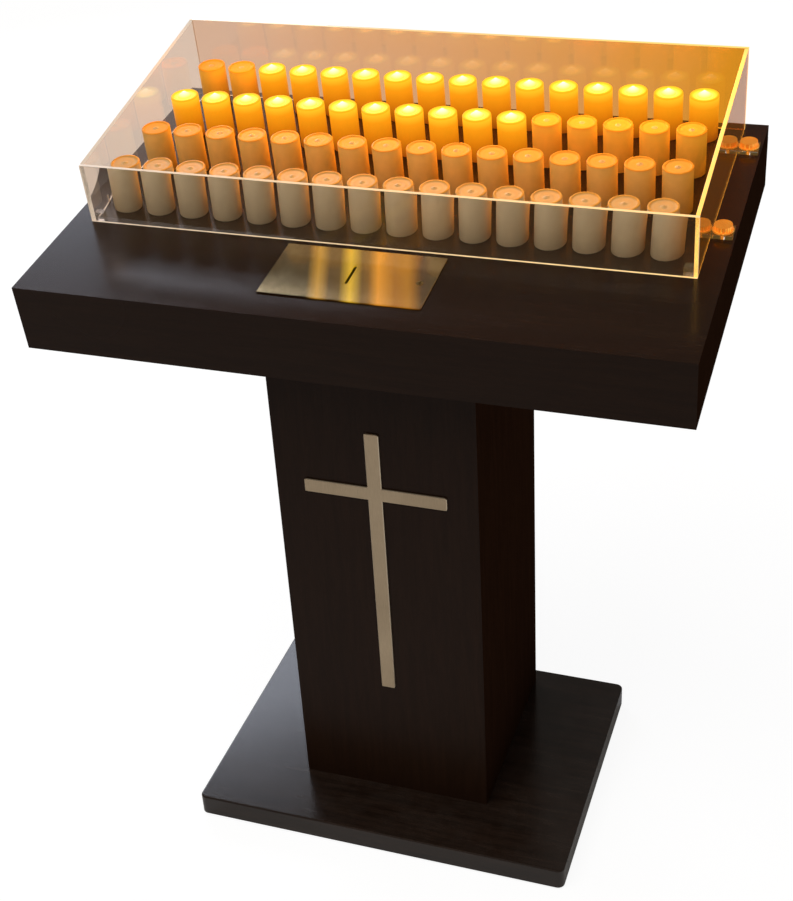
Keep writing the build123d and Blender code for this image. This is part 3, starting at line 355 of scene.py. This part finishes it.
def candle_glow(name):
    """Frosted plastic lit from inside: amber sides that fade downwards under a bright top."""
    material, tree, shader = new_finish(name, Emission_Strength=1.0, Specular_IOR_Level=0.2)
    place = placed(tree, DECK_PLACE)
    cloud = placed(tree, MOTTLE, Size=90.0, Contrast=0.7)
    height = place.outputs["Height"]
    body = ramp(tree, spread(tree, height, 0.0, CANDLE_H),
                (0.0, (0.24, 0.045, 0.002)), (0.45, (0.66, 0.19, 0.003)), (0.78, (0.88, 0.31, 0.006)),
                (0.97, (1.15, 0.55, 0.02)))
    crown = ramp(tree, spread(tree, place.outputs["Off Axis"], 0.0, CANDLE_R),
                 (0.0, (2.6, 2.3, 0.8)), (0.55, (1.9, 1.5, 0.18)), (0.82, (1.15, 0.75, 0.03)),
                 (0.96, (0.95, 0.44, 0.008)))
    on_top = spread(tree, height, CANDLE_H - 2.2 * MM, CANDLE_H - 1.2 * MM)
    tree.links.new(mix_sockets(tree, on_top, body, crown), shader.inputs["Emission Color"])
    tree.links.new(ramp(tree, cloud.outputs["Mask"], (0.3, (0.12, 0.05, 0.004)), (0.7, (0.16, 0.07, 0.006))),
                   shader.inputs["Base Color"])
    tree.links.new(spread(tree, cloud.outputs["Mask"], 0.3, 0.7, 0.38, 0.5), shader.inputs["Roughness"])
    bump(tree, shader, cloud.outputs["Height"], 0.2, 0.0003)
    return material


def candle_ivory(name):
    """Frosted ivory plastic with the light of its lit neighbours up the slope painted in: emission that grows up the
    slope, painted shade darker towards the bottom, a warm top, and base colour tinted amber towards the lit rows and
    orange on the top.
    """
    material, tree, shader = new_finish(name, Emission_Strength=1.0, Specular_IOR_Level=0.2)
    place = placed(tree, DECK_PLACE)
    cloud = placed(tree, MOTTLE, Size=90.0, Contrast=0.7)
    nearness = spread(tree, place.outputs["Up Slope"], FIRST_ROW, FIRST_ROW + 2.2 * ROW_PITCH)
    # Painted light: warm emission from the lit neighbours, stronger up the slope.
    painted_neighbour_glow = ramp(tree, nearness,
                  (0.0, (0.030, 0.012, 0.001)), (0.45, (0.20, 0.080, 0.004)), (1.0, (0.40, 0.16, 0.006)))
    # Painted shade: that emission is darker towards the bottom of each candle.
    shade = ramp(tree, spread(tree, place.outputs["Height"], 0.0, CANDLE_H),
                 (0.05, (0.18, 0.16, 0.14)), (0.55, (0.55, 0.55, 0.55)), (0.9, (1.0, 1.0, 1.0)), (1.0, (0.8, 0.7, 0.6)))
    on_top = spread(tree, place.outputs["Height"], CANDLE_H - 2.4 * MM, CANDLE_H - 0.6 * MM)
    # Painted light: a warm emission on the top.
    lit_top = ramp(tree, on_top, (0.0, (0.0, 0.0, 0.0)), (1.0, (0.08, 0.025, 0.001)))
    tree.links.new(summed(tree, multiplied(tree, painted_neighbour_glow, shade), lit_top), shader.inputs["Emission Color"])
    pale = ramp(tree, cloud.outputs["Mask"], (0.3, (0.74, 0.58, 0.36)), (0.7, (0.82, 0.66, 0.42)))
    # Painted light: the base colour is tinted orange on the top and amber on the rows nearer the lit ones.
    pale = multiplied(tree, pale, ramp(tree, on_top, (0.0, (1.0, 1.0, 1.0)), (1.0, (1.0, 0.64, 0.20))))
    amber = ramp(tree, nearness, (0.0, (1.0, 1.0, 1.0)), (0.45, (0.95, 0.70, 0.28)), (1.0, (0.90, 0.58, 0.14)))
    tree.links.new(multiplied(tree, pale, amber), shader.inputs["Base Color"])
    tree.links.new(spread(tree, cloud.outputs["Mask"], 0.3, 0.7, 0.38, 0.5), shader.inputs["Roughness"])
    bump(tree, shader, cloud.outputs["Height"], 0.2, 0.0003)
    return material


def clear_panel(name, left, right, glow_left, glow_right, strength=0.1):
    """Clear acrylic with the candles' light painted in: a base tint and an emission that turn warmer towards the right.
    """
    material, tree, shader = new_finish(name, Transmission_Weight=1.0, Roughness=0.02, IOR=1.49,
                                        Emission_Strength=strength)
    place = placed(tree, DECK_PLACE)
    cloud = placed(tree, MOTTLE, Size=4.0, Contrast=0.35)
    across = spread(tree, place.outputs["Across"], -COVER_X, COVER_X)
    across = maths(tree, "ADD", across, maths(tree, "SUBTRACT", cloud.outputs["Mask"], 0.5))
    # Painted light: tint and emission spread across the cover, warmer towards the right.
    tree.links.new(ramp(tree, across, (0.05, left), (0.95, right)), shader.inputs["Base Color"])
    tree.links.new(ramp(tree, across, (0.05, glow_left), (0.95, glow_right)), shader.inputs["Emission Color"])
    clear = add(tree, "BsdfTransparent", {"Color": (0.92, 0.88, 0.82, 1)})
    rays = add(tree, "LightPath")
    blend = add(tree, "MixShader", {0: rays.outputs["Is Shadow Ray"], 1: shader.outputs[0], 2: clear.outputs[0]})
    tree.links.new(blend.outputs[0], tree.nodes["Material Output"].inputs["Surface"])
    return material


def panel_edge(name, left, right, strength):
    """Polished acrylic edge with painted light: the light inside the sheet set as emission, warmer towards the right.
    """
    material, tree, shader = new_finish(name, Roughness=0.15, Emission_Strength=strength)
    place = placed(tree, DECK_PLACE)
    cloud = placed(tree, MOTTLE, Size=40.0, Contrast=0.9)
    across = spread(tree, place.outputs["Across"], -COVER_X, COVER_X)
    # Painted light: the edge's emission colour across the cover.
    tint = ramp(tree, across, (0.0, left), (1.0, right))
    lively = mix(tree, cloud.outputs["Mask"], (0.45, 0.35, 0.22), tint, "SCREEN")
    tree.links.new(tint, shader.inputs["Base Color"])
    tree.links.new(mix_sockets(tree, cloud.outputs["Mask"], tint, lively), shader.inputs["Emission Color"])
    return material


def hatched_copper(name):
    """Coppery turned metal with a diamond hatch, and the candles' light painted on as emission."""
    material, tree, shader = new_finish(name, Metallic=1.0, Emission_Strength=0.6)
    where = add(tree, "TexCoord").outputs["Object"]
    cloud = placed(tree, MOTTLE, Size=120.0, Contrast=1.0)
    lines = []
    for turn in (0.8, -0.8):
        turned = add(tree, "Mapping", {"Vector": where, "Rotation": (0, 0, turn)})
        wave = add(tree, "TexWave", {"Vector": turned.outputs[0], "Scale": 90.0}, bands_direction="X")
        lines.append(wave.outputs["Fac"])
    hatch = maths(tree, "MULTIPLY", lines[0], lines[1])
    tone = maths(tree, "MULTIPLY_ADD", cloud.outputs["Mask"], 0.4, maths(tree, "MULTIPLY", hatch, 0.6))
    copper_tone = ramp(tree, tone, (0.1, (0.90, 0.36, 0.06)), (0.7, (1.0, 0.62, 0.18)))
    tree.links.new(copper_tone, shader.inputs["Base Color"])
    # Painted light: the screw heads shine with emission though they are no lamp.
    glow = ramp(tree, tone, (0.1, (0.7, 0.16, 0.01)), (0.7, (1.0, 0.40, 0.04)))
    tree.links.new(glow, shader.inputs["Emission Color"])
    tree.links.new(spread(tree, tone, 0.1, 0.7, 0.42, 0.25), shader.inputs["Roughness"])
    bump(tree, shader, hatch, 0.8, 0.0006)
    return material


def glowing_tip(name, colour, edge, radius, strength):
    material, tree, shader = new_finish(name, Roughness=0.3, Emission_Strength=strength)
    place = placed(tree, DECK_PLACE)
    tone = ramp(tree, spread(tree, place.outputs["Off Axis"], 0.0, radius), (0.0, colour), (1.0, edge))
    tree.links.new(tone, shader.inputs["Emission Color"])
    tree.links.new(tone, shader.inputs["Base Color"])
    return material


ALONG_X, ALONG_Z = (1.0, 14.0, 14.0), (14.0, 14.0, 1.0)
finishes = {
    "table_laminate": laminate("table_laminate", (0.018, 0.0075, 0.0030), (0.027, 0.011, 0.0045),
                              ALONG_X, 0.21, 0.22, 0.01),
    "pedestal_laminate": laminate("pedestal_laminate", (0.018, 0.0080, 0.0042), (0.027, 0.0120, 0.0062),
                              ALONG_Z, 0.34, 0.12, 0.01),
    # Painted shade: the fronts and sides are copies of the table laminate with another tone and less or no sheen, which
    # makes them look darker.
    "apron_laminate": laminate("apron_laminate", (0.017, 0.0075, 0.0038), (0.025, 0.0110, 0.0052),
                              ALONG_X, 0.24, 0.12, 0.0),
    "side_laminate": laminate("side_laminate", (0.024, 0.0105, 0.0055), (0.038, 0.0165, 0.0088),
                              ALONG_Z, 0.36, 0.0, 0.0),
    "base_laminate": laminate("base_laminate", (0.011, 0.006, 0.004), (0.032, 0.018, 0.012), ALONG_X, 0.16, 0.62, 0.04),
    "raw_board": raw_board("raw_board"),
    "champagne_metal": sheet_metal("champagne_metal", (0.46, 0.35, 0.23), (0.70, 0.55, 0.37), (40.0, 40.0, 1.0), 0.38),
    "plate_metal": candlelit_plate("plate_metal"),
    "brass": sheet_metal("brass", (0.55, 0.36, 0.12), (0.80, 0.56, 0.24), (30.0, 30.0, 30.0), 0.28, 20.0),
    "steel": sheet_metal("steel", (0.42, 0.42, 0.43), (0.66, 0.66, 0.67), (1.0, 30.0, 30.0), 0.30),
    # Painted light: the cover's warm tint and emission.
    "acrylic": clear_panel("acrylic", (0.97, 0.96, 0.95), (0.98, 0.94, 0.86), (0.4, 0.35, 0.3), (0.6, 0.4, 0.1), 0.03),
    "candle_ivory": candle_ivory("candle_ivory"),
    "candle_glow": candle_glow("candle_glow"),
    # Painted light: the unlit tips shine orange with emission, standing for their lit neighbours' light.
    "tip_unlit": glowing_tip("tip_unlit", (0.66, 0.38, 0.13), (0.74, 0.46, 0.17), 4.2 * MM, 0.16),
    "tip_lit": glowing_tip("tip_lit", (1.0, 0.96, 0.50), (1.0, 0.60, 0.04), 9.5 * MM, 1.6),
    "black_plastic": moulded("black_plastic", (0.012, 0.012, 0.013), (0.022, 0.022, 0.023), 0.42),
    "white_plastic": moulded("white_plastic", (0.72, 0.71, 0.68), (0.80, 0.79, 0.76), 0.40),
    "circuit_board": moulded("circuit_board", (0.01, 0.09, 0.03), (0.02, 0.16, 0.06), 0.35, 120.0),
    "supply_case": sheet_metal("supply_case", (0.50, 0.51, 0.52), (0.68, 0.69, 0.70), (1.0, 30.0, 30.0), 0.38),
    "ribbon_grey": moulded("ribbon_grey", (0.36, 0.37, 0.38), (0.46, 0.47, 0.48), 0.5),
}
# Painted light and shade: the slot plate takes painted reflections, and the aprons and side boards take the less glossy
# laminate copies.
painted_light_finishes = {"slot_plate": "plate_metal", "apron_front": "apron_laminate", "apron_back": "apron_laminate",
           "apron_left": "side_laminate", "apron_right": "side_laminate",
           "pedestal_left": "side_laminate", "pedestal_right": "side_laminate"}
for name, solid in nodes.items():
    for material_slot in solid.material_slots:
        material_slot.material = finishes[painted_light_finishes.get(name, material_slot.material.name)]

# ---- modelling tools -------------------------------------------------------------------


def begin(name, primitive, **size):
    """Add a primitive and open it in edit mode."""
    bpy.ops.object.select_all(action="DESELECT")
    primitive(**size)
    piece = bpy.context.object
    piece.name = name
    piece.data.name = name
    bpy.ops.object.transform_apply(location=True, rotation=True, scale=True)
    bpy.ops.object.mode_set(mode="EDIT")
    return piece


def pick(test, kind="FACE"):
    """Select what passes the test in the open mesh, by each face's centre and normal, or each edge's ends."""
    bpy.ops.mesh.select_mode(type=kind)
    bpy.ops.mesh.select_all(action="DESELECT")
    mesh = bmesh.from_edit_mesh(bpy.context.object.data)
    if kind == "FACE":
        for face in mesh.faces:
            face.select_set(test(face.calc_center_median(), face.normal))
    elif kind == "EDGE":
        for edge in mesh.edges:
            edge.select_set(test(*(v.co for v in edge.verts)))
    else:
        for vert in mesh.verts:
            vert.select_set(test(vert.co))
    mesh.select_flush_mode()
    bmesh.update_edit_mesh(bpy.context.object.data)


def close(piece, angle=35.0):
    """Leave edit mode with the faces pointing outwards and smooth where they meet gently."""
    bpy.ops.mesh.select_all(action="SELECT")
    bpy.ops.mesh.normals_make_consistent(inside=False)
    bpy.ops.object.mode_set(mode="OBJECT")
    bpy.ops.object.shade_smooth_by_angle(angle=radians(angle))
    return piece


def set_places(model, name, places):
    """Copies of a model at each place, joined in one piece, and the model itself left for more."""
    copies = []
    for place in places:
        copy = bpy.data.objects.new(name, model.data.copy())
        scene.collection.objects.link(copy)
        copy.data.transform(place)
        copies.append(copy)
    bpy.ops.object.select_all(action="DESELECT")
    for copy in copies:
        copy.select_set(True)
    bpy.context.view_layer.objects.active = copies[0]
    if len(copies) > 1:
        bpy.ops.object.join()
    copies[0].name = name
    return copies[0]


def finish_piece(piece, body, slot, stands_for, *materials):
    """Give a piece its materials and body, and hide the CAD node that it stands for. The slot is not used."""
    piece.data.materials.clear()
    for material in materials:
        piece.data.materials.append(material)
    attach(piece, body)
    if stands_for:
        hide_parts(stands_for)
    return piece


def remove(model):
    bpy.data.objects.remove(model)


# ---- candles ---------------------------------------------------------------------------


def model_candle():
    """One candle body on its own axis: round rim, dished top with shallow rings, hollow foot."""
    piece = begin("candle_model", bpy.ops.mesh.primitive_cylinder_add, vertices=40, radius=CANDLE_R,
                  depth=CANDLE_H, location=(0, 0, CANDLE_H / 2))
    pick(lambda a, b: abs(a.z - CANDLE_H) < 1e-6 and abs(b.z - CANDLE_H) < 1e-6, "EDGE")
    bpy.ops.mesh.bevel(offset=1.2 * MM, segments=3, profile=0.5)
    pick(lambda a, b: abs(a.z) < 1e-6 and abs(b.z) < 1e-6, "EDGE")
    bpy.ops.mesh.bevel(offset=0.6 * MM, segments=2, profile=0.5)
    pick(lambda centre, normal: normal.z > 0.99 and centre.z > CANDLE_H - 1e-4)
    bpy.ops.mesh.inset(thickness=RIM - 1.6 * MM)
    for thickness, depth in ((0.5, -0.7), (0.7, -0.55), (1.2, -0.15), (2.6, 0.0), (1.2, 0.25), (1.4, -0.2),
                             (2.2, 0.0), (0.9, -0.2), (1.0, 0.1)):
        bpy.ops.mesh.inset(thickness=thickness * MM, depth=depth * MM)
    pick(lambda centre, normal: normal.z < -0.99 and centre.z < 1e-4)
    bpy.ops.mesh.inset(thickness=2.0 * MM)
    bpy.ops.mesh.inset(thickness=0.8 * MM, depth=-1.2 * MM)
    return close(piece, 50.0)


def model_tip(radius, tall):
    """The small flame-shaped window in the middle of a candle's top."""
    piece = begin("tip_model", bpy.ops.mesh.primitive_uv_sphere_add, segments=20, ring_count=12, radius=radius)
    bpy.ops.transform.resize(value=(1, 1, tall / radius))
    for share, pinch in ((0.2, 0.86), (0.45, 0.80), (0.7, 0.74)):
        pick(lambda place, low=share * tall: place.z > low, "VERT")
        bpy.ops.transform.resize(value=(pinch, pinch, 1.0), center_override=(0, 0, 0))
    return close(piece, 60.0)


columns = [CANDLE_X + (i - (CANDLE_COLS - 1) / 2) * CANDLE_PITCH for i in range(CANDLE_COLS)]
candle_model = model_candle()
tips = {True: [], False: []}
for row in (1, 2, 3, 4):
    for lit in (True, False):
        glowing = LIT.get(row, range(0))
        chosen = [x for i, x in enumerate(columns) if (i in glowing) == lit]
        if not chosen:
            continue
        s = FIRST_ROW + (row - 1) * ROW_PITCH
        node_name = f"candles_row_{row}" + ("" if row not in LIT else "_lit" if lit else "_unlit")
        places = [DECK @ Matrix.Translation((x, s, 0)) @ Matrix.Rotation(i * 2.4, 4, "Z")
                  for i, x in enumerate(chosen)]
        candles = set_places(candle_model, node_name.replace("candles", "wax"), places)
        slot = "candle_glow" if lit else "candle_ivory"
        finish_piece(candles, "stand", slot, node_name, finishes[slot])
        tips[lit] += [DECK @ Matrix.Translation((x, s, CANDLE_H - DISH)) for x in chosen]
for lit, word in ((True, "lit"), (False, "unlit")):
    tip_model = model_tip(*TIP_SIZES[lit])
    windows = set_places(tip_model, "flame_windows_" + word, tips[lit])
    finish_piece(windows, "stand", "tip_" + word, "flame_tips_" + word, finishes["tip_" + word])
    remove(tip_model)
remove(candle_model)

# ---- thumbscrews -----------------------------------------------------------------------
SHANK_R = 3 * MM
HEAD_R = 13 * MM
HEAD_H = 8 * MM
FLANGE_T = 2 * MM
SHANK_L = 14 * MM
copper = hatched_copper("thumbscrew_copper")


def model_thumbscrew():
    """Flanged head with a ridged side and a rounded, ringed top, on its shank."""
    piece = begin("thumbscrew_model", bpy.ops.mesh.primitive_cylinder_add, vertices=48, radius=HEAD_R,
                  depth=FLANGE_T, location=(0, 0, FLANGE_T / 2))
    pick(lambda a, b: abs(a.z - b.z) < 1e-6 and a.length > HEAD_R * 0.9, "EDGE")
    bpy.ops.mesh.bevel(offset=0.5 * MM, segments=2, profile=0.5)
    pick(lambda centre, normal: normal.z > 0.99)
    bpy.ops.mesh.inset(thickness=1.4 * MM)
    bpy.ops.mesh.extrude_region_move(TRANSFORM_OT_translate={"value": (0, 0, HEAD_H - FLANGE_T)})
    top_z = HEAD_H
    pick(lambda centre, normal: abs(normal.z) < 0.2 and centre.z > FLANGE_T + 1.0 * MM)
    mesh = bmesh.from_edit_mesh(piece.data)
    sides = sorted((f for f in mesh.faces if f.select),
                   key=lambda f: f.calc_center_median().to_2d().angle_signed(Vector((1, 0))))
    for face in sides[::2]:
        face.select_set(False)
    bmesh.update_edit_mesh(piece.data)
    bpy.ops.mesh.inset(thickness=0.12 * MM, depth=-0.5 * MM, use_individual=True)
    pick(lambda centre, normal: normal.z > 0.99 and centre.z > top_z - 1e-4)
    bpy.ops.mesh.inset(thickness=0.9 * MM)
    bpy.ops.mesh.inset(thickness=0.5 * MM, depth=-0.4 * MM)
    bpy.ops.mesh.inset(thickness=4.2 * MM, depth=0.3 * MM)
    bpy.ops.mesh.inset(thickness=0.5 * MM, depth=-0.3 * MM)
    bpy.ops.mesh.inset(thickness=2.0 * MM, depth=0.2 * MM)
    pick(lambda centre, normal: normal.z < -0.99 and centre.z < 1e-4)
    bpy.ops.mesh.inset(thickness=HEAD_R - 0.5 * MM - SHANK_R)
    bpy.ops.mesh.extrude_region_move(TRANSFORM_OT_translate={"value": (0, 0, 0.8 * MM - SHANK_L)})
    bpy.ops.mesh.inset(thickness=0.7 * MM, depth=0.8 * MM)
    return close(piece, 30.0)


screw_model = model_thumbscrew()
for which in ("front", "rear"):
    node_name = "thumbscrew_" + which
    low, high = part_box(node_name)
    along = [DECK.inverted() @ v.co for v in nodes[node_name].data.vertices]
    top = max(p.z for p in along)
    s = (max(p.y for p in along) + min(p.y for p in along)) / 2
    place = DECK @ Matrix.Translation(((low.x + high.x) / 2, s, top - HEAD_H))
    screw = set_places(screw_model, "knurled_screw_" + which, [place])
    finish_piece(screw, node_name, "brass", node_name, copper)
    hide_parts(node_name + "_shank")
remove(screw_model)

# ---- clear cover -----------------------------------------------------------------------


def reopen(piece):
    """Edit mode on one piece, with all of it picked."""
    bpy.ops.object.select_all(action="DESELECT")
    piece.select_set(True)
    bpy.context.view_layer.objects.active = piece
    bpy.ops.object.mode_set(mode="EDIT")
    bpy.ops.mesh.select_all(action="SELECT")


def soften(piece, radius, segments):
    bevel = piece.modifiers.new("soften", "BEVEL")
    bevel.width = radius
    bevel.segments = segments
    bevel.limit_method = "ANGLE"
    bevel.angle_limit = radians(40)
    bpy.ops.object.modifier_apply(modifier="soften")


def softened_copy(node_name, name, radius):
    """A merged copy of a CAD solid with its sharp edges softened."""
    piece = bpy.data.objects.new(name, nodes[node_name].data.copy())
    scene.collection.objects.link(piece)
    reopen(piece)
    bpy.ops.mesh.remove_doubles(threshold=0.01 * MM)
    bpy.ops.mesh.dissolve_limited(angle_limit=radians(1.0))
    bpy.ops.object.mode_set(mode="OBJECT")
    soften(piece, radius, 2)
    return piece


def painted_by_facing(sheet, body, slot, node_name, shares, *materials):
    """Each face takes the material at its axis' place in shares: across, up the slope, off the deck, so lit and shaded
    copies of a finish paint light and shade by facing.
    """
    turn = DECK.to_3x3().inverted()
    marks = []
    for face in sheet.data.polygons:
        facing = [abs(value) for value in turn @ face.normal]
        square = max(facing) > 0.9
        marks.append(shares[facing.index(max(facing))] if square else shares[-1])
    finish_piece(sheet, body, slot, node_name, *materials)
    sheet.data.polygons.foreach_set("material_index", marks)


# Painted shade: each board's sides and front take the less glossy laminate copies by facing.
for node_name, slot in (("table_top", "table_laminate"), ("apron_front", "table_laminate"),
                        ("apron_back", "table_laminate"),
                        ("pedestal_front", "pedestal_laminate")):
    board = bpy.data.objects.new("board_" + node_name, nodes[node_name].data.copy())
    scene.collection.objects.link(board)
    front = "pedestal_laminate" if node_name == "pedestal_front" else "apron_laminate"
    painted_by_facing(board, "stand", slot, node_name, (0, 1, 2, 1), finishes["side_laminate"], finishes[front], finishes[slot])

cross = bpy.data.objects.new("softened_cross", nodes["cross"].data.copy())
scene.collection.objects.link(cross)
reopen(cross)
bpy.ops.mesh.remove_doubles(threshold=0.01 * MM)
bpy.ops.mesh.dissolve_limited(angle_limit=radians(1.0))
low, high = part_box("cross")
pick(lambda a, b: (a - b).length > 0 and abs(a.x - b.x) < 1e-5 and abs(a.z - b.z) < 1e-5
     and (min(a.x - low.x, high.x - a.x) < 1 * MM or min(a.z - low.z, high.z - a.z) < 1 * MM), "EDGE")
bpy.ops.mesh.bevel(offset=3.5 * MM, segments=5, profile=0.5)
bpy.ops.object.mode_set(mode="OBJECT")
soften(cross, 1.4 * MM, 2)
# Painted highlight: the cross's bevels take a lighter, glossier copy of its metal.
painted_by_facing(cross, "stand", "champagne_metal", "cross", (1, 0, 1, 1), finishes["champagne_metal"],
      sheet_metal("champagne_edge_highlight", (0.80, 0.66, 0.48), (0.95, 0.82, 0.62), (40.0, 40.0, 1.0), 0.30))

# Painted light: the cover panels' edges shine by emission, cream at the left to amber at the right.
edge_cream = panel_edge("edge_cream", (0.55, 0.46, 0.38), (0.95, 0.68, 0.28), 0.65)
edge_amber = panel_edge("edge_amber", (0.50, 0.34, 0.20), (1.0, 0.58, 0.08), 0.95)
# Painted light: each panel's tint and emission colours, pale at the left to amber at the right.
panel_front = clear_panel("panel_front", (0.99, 0.98, 0.97), (0.99, 0.97, 0.94), (0.3, 0.2, 0.1), (0.3, 0.2, 0.1), 0.02)
panel_back = clear_panel("panel_back",
                         (0.60, 0.39, 0.27), (0.54, 0.22, 0.012), (0.3, 0.2, 0.14), (0.8, 0.34, 0.04), 0.10)
panel_side = clear_panel("panel_side",
                         (0.68, 0.54, 0.44), (0.64, 0.30, 0.06), (0.3, 0.22, 0.16), (0.7, 0.30, 0.04), 0.04)
panels = {"front": (1, panel_front, edge_cream), "back": (1, panel_back, edge_amber),
          "left": (0, panel_side, edge_cream), "right": (0, panel_side, edge_amber)}
for side, (flat_axis, face_finish, edge_finish) in panels.items():
    sheet = softened_copy("cover_" + side, "acrylic_" + side, 0.4 * MM)
    shares = [1, 1, 1, 1]
    shares[flat_axis] = 0
    painted_by_facing(sheet, "cover", "acrylic", "cover_" + side, shares, face_finish, edge_finish)

# ---- floor and light -------------------------------------------------------------------
bpy.ops.object.select_all(action="DESELECT")
bpy.ops.mesh.primitive_plane_add(size=60, location=(0, 0, 0))
floor = bpy.context.object
floor.name = "floor"
floor_finish, floor_tree, floor_shader = new_finish("floor", Roughness=0.9, Specular_IOR_Level=0.0)
floor_shader.inputs["Base Color"].default_value = (0.80, 0.79, 0.78, 1)
pale = add(floor_tree, "Emission", {"Color": (1.0, 1.0, 1.0, 1), "Strength": 1.17})
rays = add(floor_tree, "LightPath").outputs
seen = maths(floor_tree, "MAXIMUM", rays["Is Camera Ray"], rays["Is Transmission Ray"])
seen = maths(floor_tree, "MULTIPLY", seen, 0.78)
lifted = add(floor_tree, "MixShader", {0: seen, 1: floor_shader.outputs[0], 2: pale.outputs[0]})
floor_tree.links.new(lifted.outputs[0], floor_tree.nodes["Material Output"].inputs["Surface"])
floor.data.materials.append(floor_finish)

world = bpy.data.worlds.new("studio")
world.use_nodes = True
world.node_tree.nodes["Background"].inputs["Color"].default_value = (1.0, 0.93, 0.85, 1)
world.node_tree.nodes["Background"].inputs["Strength"].default_value = 0.14
scene.world = world


def softbox(name, location, target, size, power, colour, reflected=True):
    data = bpy.data.lights.new(name, "AREA")
    data.shape = "RECTANGLE"
    data.size, data.size_y = size
    data.energy = power
    data.color = colour
    lamp = bpy.data.objects.new(name, data)
    scene.collection.objects.link(lamp)
    lamp.location = location
    lamp.rotation_euler = (Vector(target) - Vector(location)).to_track_quat("-Z", "Y").to_euler()
    lamp.visible_camera = False
    lamp.visible_glossy = reflected
    lamp.visible_transmission = reflected
    return lamp


sky = bpy.data.lights.new("overhead", "SUN")
sky.energy = 1.25
sky.angle = radians(55)
sky.color = (1.0, 0.985, 0.96)
overhead = bpy.data.objects.new("overhead", sky)
scene.collection.objects.link(overhead)
overhead.rotation_euler = (radians(24), radians(-14), 0)
overhead.visible_glossy = False
softbox("window", (-2.2, 2.6, 2.1), (-0.2, 0, 0.9), (1.8, 1.6), 38, (0.80, 0.86, 1.0))
softbox("candle_light", tuple(DECK @ Vector((0.02, 0.47, 0.17))), tuple(DECK @ Vector((0.02, 0.30, 0.0))),
        (0.70, 0.08), 2.4, (1.0, 0.42, 0.06), reflected=False)

softbox("side_light", tuple(DECK @ Vector((0.373, 0.36, 0.045))), tuple(DECK @ Vector((0.44, 0.36, 0.0))),
        (0.30, 0.02), 0.22, (1.0, 0.42, 0.06), reflected=False)
